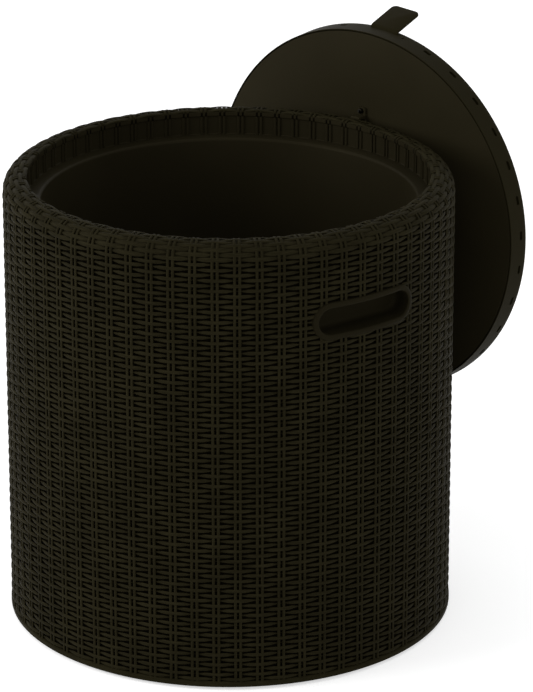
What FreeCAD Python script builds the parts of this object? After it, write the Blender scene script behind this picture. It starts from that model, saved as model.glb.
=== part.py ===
import FreeCAD, Part
import math
import os

# Round insulated cooler drum in moulded cane look, with its disc lid hung on the back of the rim.
# Millimetres. +Z up, origin on the floor at the drum's axis, hand cups on the X axis,
# the lid hangs behind the drum, near +Y.

# Drum as a whole
body_radius = 210.0          # over the stakes
body_height = 432.0          # floor to the crest of the rim
ground_gap = 3.0             # floor to the lower edge of the wall

# Cane pattern of the wall and rim
stake_pairs = 66
stake_width = 2.9
stake_gap = 1.7              # between the two stakes of a pair
stake_proud = 1.4            # stakes over the field between them
stake_phase = -1.5           # degrees, first pair from the +X axis

# Gauges of the moulded shells
wall_gauge = 3.2
tub_gauge = 3.0
rim_gauge = 3.0
cup_gauge = 2.2
cover_gauge = 3.0
lid_gauge = 2.8

# Rim
shoulder_radius = 17.0       # outer wall rolls in to the crest
shoulder_facets = 3
lip_radius = 5.0             # crest rolls down to the mouth
rim_width = 23.0             # stakes to the mouth
lip_height = 8.0             # smooth band below the crest
skirt_gauge = 2.6
pocket_gauge = 1.5

# Tub
ledge_width = 13.0           # mouth to the tub's side, carries the lid
tub_taper = 7.0              # narrower at the floor
tub_floor_height = 49.0      # floor to the tub's upper floor face
tub_corner = 14.0
tub_corner_facets = 2
collar_recess = 1.4          # panels between the collar ribs

# Wall shelf for the tub and foot flange for the base, both inside the wall
shelf_width = 12.4
shelf_height = 3.0
flange_thickness = 6.0

# Facets of the round forms
round_sides = 44
lid_sides = 66
small_sides = 16
cover_ring_sides = 22

# Base
cover_height = 9.0           # floor to the cover's lower face
cover_rib_height = 2.5
cover_rib_gauge = 2.0
cover_spokes = 6
cover_ring_radius = 100.0
cover_spoke_gap = 4.2        # spokes stop short of the screw heads

# Feet
foot_radius = 11.0
foot_inset = 24.0            # stakes to the feet's middles
foot_count = 6
centre_foot_radius = 16.0
foot_chamfer = 1.5
foot_sides = 12
peg_radius = 4.0

# Screws
base_screw_count = 6
base_screw_radius = 1.6
base_screw_head = 3.0
base_screw_length = 8.0
screw_head_height = 2.4
screw_sides = 6

# Hand cups, one on each side
cup_count = 2
cup_drop = 80.0              # crest to the cup's middle
cup_opening_length = 101.0
cup_opening_height = 25.0
cup_border = 5.2
cup_border_proud = 0.8       # border over the stakes
cup_depth = 23.5             # stakes to the cup's back face
cup_end_facets = 6

# Drain through the tub floor
drain_inset = 52.0           # tub's side at the floor to the drain's middle
drain_bore_radius = 10.0
drain_tube_gauge = 3.5
drain_flange_radius = 22.0
drain_flange_gauge = 2.0
drain_tube_length = 42.0
gasket_gauge = 1.5
nut_height = 7.0
nut_flats = 36.0
bung_head_radius = 17.0
bung_head_height = 3.5
bung_head_chamfer = 1.0
bung_depth = 20.0
bung_grip_height = 13.0
bung_grip_width = 20.0
bung_grip_gauge = 4.5
bung_taper = 0.5

# Lid
lid_play = 5.5               # round the lid's top edge in the mouth
lid_draft = 1.0              # narrower at the underside
lid_thickness = 23.2
lid_sink = 3.0               # closed, its top lies this far below the crest
lid_rebate = 1.9             # underside panel is let into the side wall
lid_border = 17.0            # plain border round the sunken field of the top
lid_field_depth = 1.2
lid_edge_round = 2.0
panel_chamfer = 0.6
vent_count = 33
vent_length = 8.0
vent_height = 3.4
vent_end_facets = 2
vent_drop = 8.4              # top edge to the middle of a vent
vent_phase = -21.2           # degrees from the hook's direction

# Pull tab at the lid's edge
tab_width = 32.0
tab_angle = -3.65            # degrees from the hook's direction
tab_reach = 13.6             # outward
tab_rise = 28.4              # above the lid's top
tab_gauge = 2.5
tab_root = 16.0
tab_bend = 1.0               # bend's distance outside the lid's edge
tab_corner = 5.0

# Hanger hook on the lid's underside
hook_width = 10.0
hook_gauge = 3.0
hook_plate_gauge = 2.4
hook_plate_top = 106.0       # from the lid's centre
hook_plate_length = 18.0
hook_plate_corner = 2.0
hook_arm_top = 98.3          # from the lid's centre
hook_reach = 12.3
hook_nose = 1.0
hook_lip_gauge = 2.5
hook_lip_depth = 8.5
hook_screw_radius = 1.5
hook_screw_head = 2.7
hook_screw_length = 11.0
hook_screw_margin = 3.8
hook_peg_margin = 3.0
hook_peg_radius = 1.5
hook_peg_length = 4.0
hook_boss_radius = 4.5

# Lid as it hangs
hang_direction = 103.8       # degrees from +X, the way the lid's top faces
hang_offset = 9.7            # lid's centre beside that direction
hang_lean = 0.35             # degrees, top leans away from the drum

# Clearances
fit = 0.3                    # between pieces that drop into each other
rim_play = 0.3               # stakes of the roll inside those of the wall
seat_gap = 0.3               # between the hook and its seat
hook_play = 0.8              # round the hook's lip in its pocket
hook_front_play = 3.9        # in front of the lip
screw_play = 0.1
bore_play = 0.1              # rings on the drain tube

# Worked out from the sizes above
mouth_radius = body_radius - rim_width
tub_mouth_radius = mouth_radius - ledge_width
tub_floor_radius = tub_mouth_radius - tub_taper
lid_radius = mouth_radius - lid_play
foot_circle = body_radius - foot_inset
cup_back = body_radius - cup_depth
cup_height = body_height - cup_drop
drain_offset = tub_floor_radius - drain_inset
field_radius = body_radius - stake_proud
wall_inner = field_radius - wall_gauge
seat_radius = field_radius - fit
shoulder_height = body_height - shoulder_radius
shoulder_centre = body_radius - rim_play - shoulder_radius
ledge_height = body_height - lid_sink - lid_thickness
flange_height = ledge_height - tub_gauge
lip_bottom = body_height - lip_height
lip_centre = mouth_radius + lip_radius
collar_inner = mouth_radius + collar_recess
collar_outer = collar_inner + tub_gauge
shelf_inner = wall_inner - shelf_width
cover_top = cover_height + cover_gauge
foot_flange_top = cover_top + flange_thickness
tub_underside = tub_floor_height - tub_gauge
pair_pitch = 360.0 / stake_pairs
half_pair = math.degrees((stake_gap / 2 + stake_width) / field_radius)
half_gap = math.degrees(stake_gap / 2 / field_radius)
cup_body_length = cup_opening_length + 2 * cup_gauge
cup_body_height = cup_opening_height + 2 * cup_gauge
cup_level_low = cup_height - cup_body_height / 2 - 2 * fit
cup_level_high = cup_height + cup_body_height / 2 + 2 * fit
drain_tube_radius = drain_bore_radius + drain_tube_gauge
drain_flange_top = tub_floor_height + gasket_gauge + drain_flange_gauge
base_screw_circle = (shelf_inner + wall_inner) / 2
cover_spoke_end = base_screw_circle - base_screw_head - cover_spoke_gap
lid_under_radius = lid_radius - lid_draft
skin_low = lid_thickness - lid_field_depth - lid_gauge

X = FreeCAD.Vector(1, 0, 0)
Y = FreeCAD.Vector(0, 1, 0)
Z = FreeCAD.Vector(0, 0, 1)
ORIGIN = FreeCAD.Vector(0, 0, 0)


def polar(radius, degrees, height=0.0):
    angle = math.radians(degrees)
    return FreeCAD.Vector(radius * math.cos(angle), radius * math.sin(angle), height)


def around(count, start=0.0):
    return [start + 360.0 * i / count for i in range(count)]


def turned(shape, degrees):
    copy = shape.copy()
    copy.rotate(ORIGIN, Z, degrees)
    return copy


def moved(shape, place):
    copy = shape.copy()
    copy.translate(place)
    return copy


def flat(points):
    """Plane face through the given corners."""
    return Part.Face(Part.makePolygon(points + points[:1]))


def prism(corners, low, high):
    """Upright prism on a plan outline of radius and degree pairs."""
    return flat([polar(radius, degrees, low) for radius, degrees in corners]).extrude(Z * (high - low))


def bar(sides, radius, low, high, place):
    """Upright many-sided bar or plug round a place in plan."""
    outline = [(radius, degrees) for degrees in around(sides)]
    return moved(prism(outline, low, high), FreeCAD.Vector(place.x, place.y, 0))


def joined(faces):
    """Solid from faces that close on each other."""
    skin = Part.makeCompound(faces)
    skin.sewShape()
    solid = Part.Solid(skin.Shells[0])
    if solid.Volume < 0:
        solid.reverse()
    return solid


def band_faces(low_point, high_point, start, end):
    """Plane facet between two section points, from one angle to the next."""
    (low_radius, low), (high_radius, high) = low_point, high_point
    return flat([polar(low_radius, start, low), polar(low_radius, end, low),
                 polar(high_radius, end, high), polar(high_radius, start, high)])


def plate_face(radius, height, sides):
    return flat([polar(radius, angle, height) for angle in around(sides)])


def spun(points, sides=round_sides):
    """Round solid with plane facets about Z from the corners of a closed section, each a radius and a height."""
    faces = []
    step = 360.0 / sides
    for low_point, high_point in zip(points, points[1:] + points[:1]):
        radii = (low_point[0], high_point[0])
        if max(radii) == 0:
            continue
        if low_point[1] == high_point[1]:
            face = plate_face(max(radii), low_point[1], sides)
            faces.append(face if min(radii) == 0 else face.cut(plate_face(min(radii), low_point[1], sides)))
        else:
            faces += [band_faces(low_point, high_point, start, start + step) for start in around(sides)]
    return joined(faces)


def ring(inner, outer, low, high, sides=round_sides):
    """Plain ring, or a disc where the inner radius is zero."""
    return spun([(inner, low), (outer, low), (outer, high), (inner, high)], sides)


def slot_bar(length, height, near, far, middle, facets):
    """Round-ended bar along X with faceted ends, its section in the YZ plane."""
    half = height / 2
    side = length / 2 - half
    corners = []
    for centre, first in ((side, -90.0), (-side, 90.0)):
        for i in range(facets + 1):
            turn = math.radians(first + 180.0 * i / facets)
            corners.append(FreeCAD.Vector(near, centre + half * math.cos(turn), middle + half * math.sin(turn)))
    return flat(corners).extrude(X * (far - near))


def save(name, shape):
    shape.exportStep("parts/" + name + ".step")
    print(name, len(shape.Solids), round(shape.Volume / 1000, 1), "cm3", shape.isValid())


def cup_places():
    return around(cup_count)


def staked_outline():
    """Plan outline that steps from the field out to each stake of each pair."""
    corners = []
    for centre in around(stake_pairs, stake_phase):
        for low_side, high_side in ((-half_pair, -half_gap), (half_gap, half_pair)):
            corners += [(field_radius, centre + low_side), (body_radius, centre + low_side),
                        (body_radius, centre + high_side), (field_radius, centre + high_side)]
    return corners


def make_outer_wall():
    """Staked shell with a foot flange and a shelf for the tub."""
    wall = prism(staked_outline(), ground_gap, shoulder_height)
    wall = wall.cut(ring(0, wall_inner, 0, body_height))
    flange = ring(shelf_inner, wall_inner, cover_top, foot_flange_top)
    for angle in around(base_screw_count):
        flange = flange.cut(bar(screw_sides, base_screw_radius + screw_play, cover_top,
                                cover_height + base_screw_length + fit, polar(base_screw_circle, angle)))
    shelf = spun([
        (wall_inner, flange_height - shelf_height - shelf_width),
        (wall_inner, flange_height),
        (shelf_inner, flange_height),
        (shelf_inner, flange_height - shelf_height),
    ])
    wall = wall.fuse([flange, shelf])
    border_length = cup_opening_length + 2 * cup_border + 2 * fit
    border_height = cup_opening_height + 2 * cup_border + 2 * fit
    far = body_radius + shoulder_radius
    hole = slot_bar(cup_body_length + 2 * fit, cup_body_height + 2 * fit, wall_inner / 2, far,
                    cup_height, cup_end_facets)
    seat = slot_bar(border_length, border_height, wall_inner / 2, far, cup_height, cup_end_facets)
    seat = seat.cut(ring(0, seat_radius, 0, body_height))
    tools = [turned(tool, place) for place in cup_places() for tool in (hole, seat)]
    return wall.cut(tools)


def roll_point(radius, degrees):
    """Radius and height of a point of the shoulder's round, measured up from the outside."""
    angle = math.radians(degrees)
    return (shoulder_centre + radius * math.cos(angle), shoulder_height + radius * math.sin(angle))


def roll_points(radius):
    return [roll_point(radius, 90.0 * i / shoulder_facets) for i in range(shoulder_facets + 1)]


def rim_field():
    """Outer face of the roll between the stake pairs, down to the mouth."""
    crest = body_height - stake_proud
    lip_low = lip_radius * math.sqrt(0.5)
    return roll_points(shoulder_radius - stake_proud) + [
        (lip_centre, crest),
        (lip_centre - lip_low, crest - lip_radius + lip_low),
        (mouth_radius, lip_bottom),
    ]


def rim_crest():
    """Face of a stake pair that runs over the roll and dies out at the lip."""
    return roll_points(shoulder_radius) + [(lip_centre, body_height - stake_proud)]


def rim_inside():
    """Hidden face of the roll and the skirt, from the mouth round to the step on the wall's edge."""
    inner = shoulder_radius - rim_gauge
    skirt_outer = wall_inner - fit
    skirt_inner = skirt_outer - skirt_gauge
    skirt_turn = math.degrees(math.acos((skirt_inner - shoulder_centre) / inner))
    return [
        (mouth_radius + rim_gauge, lip_bottom),
        (shoulder_centre, body_height - rim_gauge),
        roll_point(inner, (90 + skirt_turn) / 2),
        roll_point(inner, skirt_turn),
        (skirt_inner, ledge_height),
        (skirt_outer, ledge_height),
        (skirt_outer, shoulder_height),
    ]


def rim_border():
    """Ribbed roll in plane facets, closed by a turned inside."""
    field = rim_field()
    crest = rim_crest()
    inside = rim_inside()
    shared = len(crest) - 1
    faces = []
    step_corners = []
    mouth_corners = []
    for centre in around(stake_pairs, stake_phase):
        start = centre - half_pair
        end = centre + half_pair
        following = start + pair_pitch
        pair = crest + field[shared + 1:]
        faces += [band_faces(a, b, start, end) for a, b in zip(pair, pair[1:])]
        faces += [band_faces(a, b, end, following) for a, b in zip(field, field[1:])]
        for side in (start, end):
            cheek = crest + field[:shared][::-1]
            faces.append(flat([polar(radius, side, height) for radius, height in cheek]))
        step_corners += [polar(crest[0][0], start, shoulder_height), polar(crest[0][0], end, shoulder_height),
                         polar(field[0][0], end, shoulder_height),
                         polar(field[0][0], following, shoulder_height)]
        mouth_corners += [polar(mouth_radius, start, lip_bottom), polar(mouth_radius, end, lip_bottom)]
    faces.append(flat(step_corners).cut(plate_face(inside[-1][0], shoulder_height, round_sides)))
    faces.append(plate_face(inside[0][0], lip_bottom, round_sides).cut(flat(mouth_corners)))
    for low_point, high_point in zip(inside, inside[1:]):
        faces += [band_faces(low_point, high_point, start, start + 360.0 / round_sides)
                  for start in around(round_sides)]
    return joined(faces)


def under_roll():
    """Everything below the stakes on the shoulder."""
    return spun(roll_points(shoulder_radius)
                + [(collar_outer, body_height), (collar_outer, ledge_height),
                   (shoulder_centre + shoulder_radius, ledge_height)])


def hanger_box(side, near, far, low, high):
    """Box in line with the hook: half width, inner and outer distance from the axis, low and high."""
    corner = FreeCAD.Vector(-hang_offset - side, near, low)
    box = Part.makeBox(2 * side, far - near, high - low, corner)
    return turned(box, hang_direction - 90.0)


def hook_face_distance():
    """Axis to the lid's underside at the height of the hook's arm."""
    return hang_distance() + hook_arm_top * math.tan(math.radians(hang_lean))


def hang_distance():
    """Axis to the middle of the lid's underside: its lower edge leans on the wall."""
    return body_radius + fit + lid_under_radius * math.tan(math.radians(hang_lean))


def hang_height():
    """Height of the lid's centre: the hook's arm lies on the rim's outer roll."""
    rest_radius = hook_face_distance() - hook_reach + hook_lip_gauge + hook_play
    across = rest_radius - shoulder_centre
    seat = shoulder_height + math.sqrt(shoulder_radius ** 2 - across ** 2) - fit
    return seat + seat_gap + hook_gauge - hook_arm_top


def make_rim_ring():
    """Rolled border with ribs and the framed pocket for the hanger hook."""
    near = hook_face_distance() - hook_reach - hook_front_play
    far = hook_face_distance() - hook_reach + hook_lip_gauge + hook_play
    seat = hang_height() + hook_arm_top - hook_gauge - seat_gap
    side = hook_width / 2 + hook_play
    floor = seat - hook_lip_depth - hook_play
    frame = hanger_box(side + pocket_gauge, near - pocket_gauge, far + 2 * pocket_gauge,
                       floor - pocket_gauge, body_height).common(under_roll())
    pocket = hanger_box(side, near, far, floor, 2 * body_height)
    notch = hanger_box(side + pocket_gauge, near - pocket_gauge, body_radius + shoulder_radius,
                       seat, 2 * body_height)
    return rim_border().fuse(frame).cut([pocket, notch])


def tub_radius(height):
    """Inner radius of the tapered tub."""
    share = (height - tub_floor_height) / (ledge_height - tub_floor_height)
    return tub_floor_radius + share * (tub_mouth_radius - tub_floor_radius)


def corner_points(radius, centre_radius, centre_height):
    """Facets of the round between the tub's floor and its side."""
    points = []
    for i in range(tub_corner_facets + 1):
        turn = math.radians(-90.0 + 90.0 * i / tub_corner_facets)
        points.append((centre_radius + radius * math.cos(turn), centre_height + radius * math.sin(turn)))
    return points


def make_inner_tub():
    """Tapered tub with a rounded floor corner, the lid's ledge and a ribbed collar."""
    centre_height = tub_floor_height + tub_corner
    centre_radius = tub_radius(centre_height) - tub_corner
    flange_outer = wall_inner - fit
    body = spun([(0, tub_underside)]
                + corner_points(tub_corner + tub_gauge, centre_radius, centre_height)
                + [(tub_mouth_radius + tub_gauge, flange_height), (flange_outer, flange_height),
                   (flange_outer, ledge_height), (collar_outer, ledge_height), (collar_outer, lip_bottom),
                   (0, lip_bottom)])
    hollow = spun([(0, tub_floor_height)]
                  + corner_points(tub_corner, centre_radius, centre_height)
                  + [(tub_mouth_radius, ledge_height), (0, ledge_height)])
    outline = []
    for centre in around(stake_pairs, stake_phase):
        outline += [(collar_inner, centre - half_pair), (mouth_radius, centre - half_pair),
                    (mouth_radius, centre + half_pair), (collar_inner, centre + half_pair)]
    collar = prism(outline, ledge_height, body_height)
    drain = bar(small_sides, drain_tube_radius + fit, 0, centre_height, drain_place())
    return body.cut([hollow, collar, drain])


def drain_place():
    return FreeCAD.Vector(0, drain_offset, 0)


def behind_tub(height):
    """Inner radius of the foam at the tub's side."""
    return tub_radius(height) + tub_gauge + fit


def make_wall_insulation():
    """Foam sleeve between the tub and the wall, up to the hand cups."""
    outer = wall_inner - fit
    return spun([(behind_tub(tub_underside), tub_underside), (outer, tub_underside), (outer, cup_level_low),
                 (behind_tub(cup_level_low), cup_level_low)])


def make_cup_insulation():
    """Narrower foam ring that passes behind the hand cups."""
    outer = cup_back - cup_gauge - fit
    return spun([(behind_tub(cup_level_low), cup_level_low), (outer, cup_level_low), (outer, cup_level_high),
                 (behind_tub(cup_level_high), cup_level_high)])


def make_collar_insulation():
    """Foam ring over the hand cups, up to the tub's flange and stepped in under the shelf."""
    outer = wall_inner - fit
    high = flange_height - fit
    under_shelf = flange_height - shelf_height - fit
    return spun([(behind_tub(cup_level_high), cup_level_high), (outer, cup_level_high),
                 (outer, under_shelf - shelf_width), (shelf_inner - fit, under_shelf),
                 (shelf_inner - fit, high), (behind_tub(high), high)])


def make_base_insulation():
    """Foam disc under the tub, with a spigot inside the foot flange and a hole for the drain."""
    sides = around(round_sides)
    disc = prism([(wall_inner - fit, angle) for angle in sides], foot_flange_top, tub_underside)
    spigot = prism([(shelf_inner - fit, angle) for angle in sides], cover_top, foot_flange_top)
    drain = bar(small_sides, drain_flange_radius + fit, 0, tub_underside, drain_place())
    return disc.fuse(spigot).cut(drain).removeSplitter()


def foot_places():
    return [polar(foot_circle, angle) for angle in around(foot_count, 180.0 / foot_count)]


def make_base_cover():
    """Bottom plate with a ring and spokes below it, and holes for screws, feet and drain."""
    outer = wall_inner - fit
    low = cover_height - cover_rib_height
    plate = ring(0, outer, cover_height, cover_top)
    ribs = [ring(cover_ring_radius - cover_rib_gauge, cover_ring_radius, low, cover_height, cover_ring_sides)]
    for angle in around(cover_spokes):
        spoke = Part.makeBox(cover_spoke_end - cover_ring_radius, cover_rib_gauge, cover_rib_height,
                             FreeCAD.Vector(cover_ring_radius - cover_rib_gauge / 2, -cover_rib_gauge / 2, low))
        ribs.append(turned(spoke, angle))
    holes = [bar(screw_sides, base_screw_radius + screw_play, 0, cover_top, polar(base_screw_circle, angle))
             for angle in around(base_screw_count)]
    holes += [bar(screw_sides, peg_radius, 0, cover_top, place) for place in foot_places() + [ORIGIN]]
    holes.append(bar(small_sides, drain_tube_radius + fit, 0, cover_top, drain_place()))
    return plate.fuse(ribs).cut(holes)


def foot_pad(radius, place):
    """Pad with a chamfered tread and a peg."""
    tread = Part.makeLoft([
        Part.makePolygon([polar(r, degrees, height) for degrees in around(foot_sides)] + [polar(r, 0, height)])
        for r, height in ((radius - foot_chamfer, 0), (radius, foot_chamfer))], True, True)
    pad = tread.fuse([prism([(radius, degrees) for degrees in around(foot_sides)], foot_chamfer, cover_height),
                      bar(screw_sides, peg_radius - fit / 2, cover_height, cover_top, ORIGIN)])
    return moved(pad.removeSplitter(), place)


def make_foot_pads():
    """Rubber pads pushed into the base cover: a ring of them and one in the middle."""
    pads = [foot_pad(foot_radius, place) for place in foot_places()]
    return Part.makeCompound(pads + [foot_pad(centre_foot_radius, ORIGIN)])


def screw(shank_radius, head_radius, low, high, place):
    """Screw standing up from its head's lower face."""
    head = bar(screw_sides, head_radius, low, low + screw_head_height, place)
    return head.fuse(bar(screw_sides, shank_radius, low + screw_head_height, high, place))


def make_base_screws():
    return Part.makeCompound([
        screw(base_screw_radius, base_screw_head, cover_height - screw_head_height,
              cover_height + base_screw_length, polar(base_screw_circle, angle))
        for angle in around(base_screw_count)])


def make_hand_cup():
    """Pocket with a curved border that lies on the wall."""
    far = body_radius + shoulder_radius
    body = slot_bar(cup_body_length, cup_body_height, cup_back - cup_gauge, far, cup_height, cup_end_facets)
    body = body.common(ring(0, field_radius + fit, 0, body_height))
    border = slot_bar(cup_opening_length + 2 * cup_border, cup_opening_height + 2 * cup_border,
                      cup_back, far, cup_height, cup_end_facets)
    border = border.common(ring(field_radius, body_radius + cup_border_proud, 0, body_height))
    cavity = slot_bar(cup_opening_length, cup_opening_height, cup_back, far, cup_height, cup_end_facets)
    return body.fuse(border).cut(cavity)


def make_drain_socket():
    """Flanged tube that drains the tub through the base."""
    low = drain_flange_top - drain_flange_gauge - drain_tube_length
    socket = spun([
        (drain_bore_radius, low),
        (drain_tube_radius, low),
        (drain_tube_radius, drain_flange_top - drain_flange_gauge),
        (drain_flange_radius, drain_flange_top - drain_flange_gauge),
        (drain_flange_radius, drain_flange_top),
        (drain_bore_radius, drain_flange_top),
    ], small_sides)
    return moved(socket, drain_place())


def plain_collar(inner, outer, low, high):
    return moved(ring(inner, outer, low, high, small_sides), drain_place())


def make_drain_gasket():
    return plain_collar(drain_tube_radius + bore_play, drain_flange_radius - 1.0,
                        tub_floor_height, tub_floor_height + gasket_gauge)


def make_drain_nut():
    """Six-sided nut on the tube, up against the tub's floor."""
    place = drain_place()
    block = bar(6, nut_flats / math.sqrt(3), tub_underside - nut_height, tub_underside, place)
    return block.cut(bar(small_sides, drain_tube_radius + bore_play, 0, tub_floor_height, place))


def make_drain_bung():
    """Tapered bung with a round head and a flat finger grip."""
    head_low = drain_flange_top + gasket_gauge
    head_high = head_low + bung_head_height
    top_radius = drain_bore_radius - fit
    low = drain_flange_top - bung_depth

    def outline(radius, height):
        corners = [polar(radius, angle, height) for angle in around(small_sides)]
        return Part.makePolygon(corners + corners[:1])

    shank = Part.makeLoft([outline(top_radius - bung_taper, low), outline(top_radius, head_low)], True, True)
    head = Part.makeLoft([outline(bung_head_radius, head_low),
                          outline(bung_head_radius, head_high - bung_head_chamfer)], True, True)
    bevel = Part.makeLoft([outline(bung_head_radius, head_high - bung_head_chamfer),
                           outline(bung_head_radius - bung_head_chamfer, head_high)], True, True)
    half = bung_grip_width / 2
    base = head_high - bung_head_chamfer / 2
    top = head_high + bung_grip_height
    corners = [FreeCAD.Vector(half, 0, base)]
    for i in range(small_sides // 2 + 1):
        turn = 2 * math.pi * i / small_sides
        corners.append(FreeCAD.Vector(half * math.cos(turn), 0, top - half + half * math.sin(turn)))
    corners.append(FreeCAD.Vector(-half, 0, base))
    grip = flat(corners).extrude(Y * bung_grip_gauge)
    grip.translate(Y * (-bung_grip_gauge / 2))
    return moved(shank.fuse([head, bevel, grip]).removeSplitter(), drain_place())


def make_bung_seal():
    return plain_collar(drain_bore_radius + bore_play, bung_head_radius - 1.0,
                        drain_flange_top, drain_flange_top + gasket_gauge)


def lid_side_radius(height):
    return lid_under_radius + lid_draft * height / lid_thickness


def make_lid_shell():
    """Top skin and side wall in one, with a sunken field, a ring of vents and the tab's slit."""
    panel_seat = lid_gauge + fit
    edge = lid_edge_round
    edge_low = edge * (1 - math.sqrt(0.5))
    field_edge = lid_radius - lid_border
    rebate = lid_side_radius(panel_seat) - lid_gauge + lid_rebate
    shell = spun([
        (0, skin_low),
        (lid_side_radius(skin_low) - lid_gauge, skin_low),
        (lid_side_radius(panel_seat) - lid_gauge, panel_seat),
        (rebate, panel_seat),
        (rebate, 0),
        (lid_under_radius, 0),
        (lid_radius, lid_thickness - edge),
        (lid_radius - edge_low, lid_thickness - edge_low),
        (lid_radius - edge, lid_thickness),
        (field_edge, lid_thickness),
        (field_edge - lid_field_depth, lid_thickness - lid_field_depth),
        (0, lid_thickness - lid_field_depth),
    ], lid_sides)
    vent = slot_bar(vent_length, vent_height, lid_under_radius - 2 * lid_gauge, lid_radius + lid_gauge,
                    lid_thickness - vent_drop, vent_end_facets)
    behind_tab = math.degrees(tab_width / 2 / lid_radius) + pair_pitch / 2
    angles = [angle for angle in around(vent_count, vent_phase)
              if abs((angle - tab_angle + 180.0) % 360.0 - 180.0) > behind_tab]
    cuts = [turned(vent, 90.0 - angle) for angle in angles]
    slit = tab_strip(tab_gauge + fit, tab_width + 2 * fit, fit / 2)
    return shell.cut(cuts + [slit])


def tab_strip(gauge, width, raised):
    """Tab as a bent strip: flat root inside the lid, then up and outward past the rim."""
    root_top = skin_low - fit + raised
    root_low = root_top - gauge
    bend = lid_radius + tab_bend
    rise = lid_thickness + tab_rise
    reach = lid_radius + tab_reach
    slope = math.atan2(rise - root_low, reach - bend)
    profile = [
        (lid_radius - tab_root, root_low),
        (bend, root_low),
        (reach, rise),
        (reach - gauge * math.sin(slope), rise + gauge * math.cos(slope)),
        (bend - gauge * math.tan(slope / 2), root_top),
        (lid_radius - tab_root, root_top),
    ]
    strip = flat([FreeCAD.Vector(radius, -width / 2, height) for radius, height in profile]).extrude(Y * width)
    return turned(strip, 90.0 - tab_angle)


def make_pull_tab():
    tab = tab_strip(tab_gauge, tab_width, 0.0)
    tip = [e for e in tab.Edges
           if e.BoundBox.ZMin > lid_thickness + 0.8 * tab_rise and e.Length < 1.5 * tab_gauge]
    return tab.makeChamfer(tab_corner, tip)


def hook_screw_place():
    return FreeCAD.Vector(0, hook_plate_top - hook_screw_margin, 0)


def hook_peg_place():
    return FreeCAD.Vector(0, hook_plate_top - hook_plate_length + hook_peg_margin, 0)


def make_lid_underside():
    """Smooth underside panel with bosses for the hook's screw and peg."""
    outer = lid_side_radius(lid_gauge + fit) - lid_gauge + lid_rebate - fit
    panel = spun([(0, 0), (outer - panel_chamfer, 0), (outer, panel_chamfer), (outer, lid_gauge),
                  (0, lid_gauge)], lid_sides)
    bosses = [bar(screw_sides, hook_boss_radius, lid_gauge / 2, hook_screw_length + lid_gauge, place)
              for place in (hook_screw_place(), hook_peg_place())]
    holes = [bar(screw_sides, hook_screw_radius + screw_play, 0, hook_screw_length + fit, hook_screw_place()),
             bar(screw_sides, hook_peg_radius + screw_play, 0, hook_peg_length + fit, hook_peg_place())]
    return panel.fuse(bosses).cut(holes)


def make_lid_core():
    """Foam disc that fills the lid."""
    outer = lid_side_radius(lid_gauge) - lid_gauge - fit
    core = prism([(outer, angle) for angle in around(lid_sides)], lid_gauge, skin_low)
    holes = [bar(screw_sides, hook_boss_radius + fit, 0, hook_screw_length + lid_gauge + fit, place)
             for place in (hook_screw_place(), hook_peg_place())]
    return core.cut(holes + [tab_strip(tab_gauge + 2 * fit, tab_width + 4 * fit, fit)])


def make_hanger_hook():
    """Plate on the underside, an arm over the rim and a lip that drops in its pocket."""
    half = hook_width / 2
    plate_low = hook_plate_top - hook_plate_length
    cut_back = hook_plate_corner
    outline = [(-half, plate_low), (half, plate_low), (half, hook_plate_top - cut_back),
               (half - cut_back, hook_plate_top), (cut_back - half, hook_plate_top),
               (-half, hook_plate_top - cut_back)]
    plate = flat([FreeCAD.Vector(x, y, -hook_plate_gauge) for x, y in outline]).extrude(Z * hook_plate_gauge)
    arm_low = hook_arm_top - hook_gauge
    lip_low = arm_low - hook_lip_depth
    side = [(0, arm_low), (0, hook_arm_top), (hook_nose - hook_reach, hook_arm_top),
            (-hook_reach, hook_arm_top - hook_nose), (-hook_reach, lip_low),
            (hook_lip_gauge - hook_reach, lip_low), (hook_lip_gauge - hook_reach, arm_low)]
    arm = flat([FreeCAD.Vector(-half, y, z) for z, y in side]).extrude(X * hook_width)
    peg = bar(screw_sides, hook_peg_radius, -hook_plate_gauge, hook_peg_length, hook_peg_place())
    hook = plate.fuse([arm, peg]).removeSplitter()
    hole = bar(screw_sides, hook_screw_radius + screw_play, -2 * hook_plate_gauge, 0, hook_screw_place())
    return hook.cut(hole)


def make_hook_screw():
    low = -hook_plate_gauge - screw_head_height
    return screw(hook_screw_radius, hook_screw_head, low, hook_screw_length, hook_screw_place())


def hung(shape):
    """From the lid's own frame (top up, hook towards +Y) to where it hangs."""
    outward = polar(1, hang_direction)
    across = polar(1, hang_direction + 90.0)
    lean = math.radians(hang_lean)
    top = outward * math.cos(lean) - Z * math.sin(lean)
    up = Z * math.cos(lean) + outward * math.sin(lean)
    centre = outward * hang_distance() + across * hang_offset + Z * hang_height()
    matrix = FreeCAD.Matrix(across.x, up.x, top.x, centre.x,
                            across.y, up.y, top.y, centre.y,
                            across.z, up.z, top.z, centre.z,
                            0, 0, 0, 1)
    placed = shape.copy()
    placed.Placement = FreeCAD.Placement(matrix).multiply(placed.Placement)
    return placed


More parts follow.
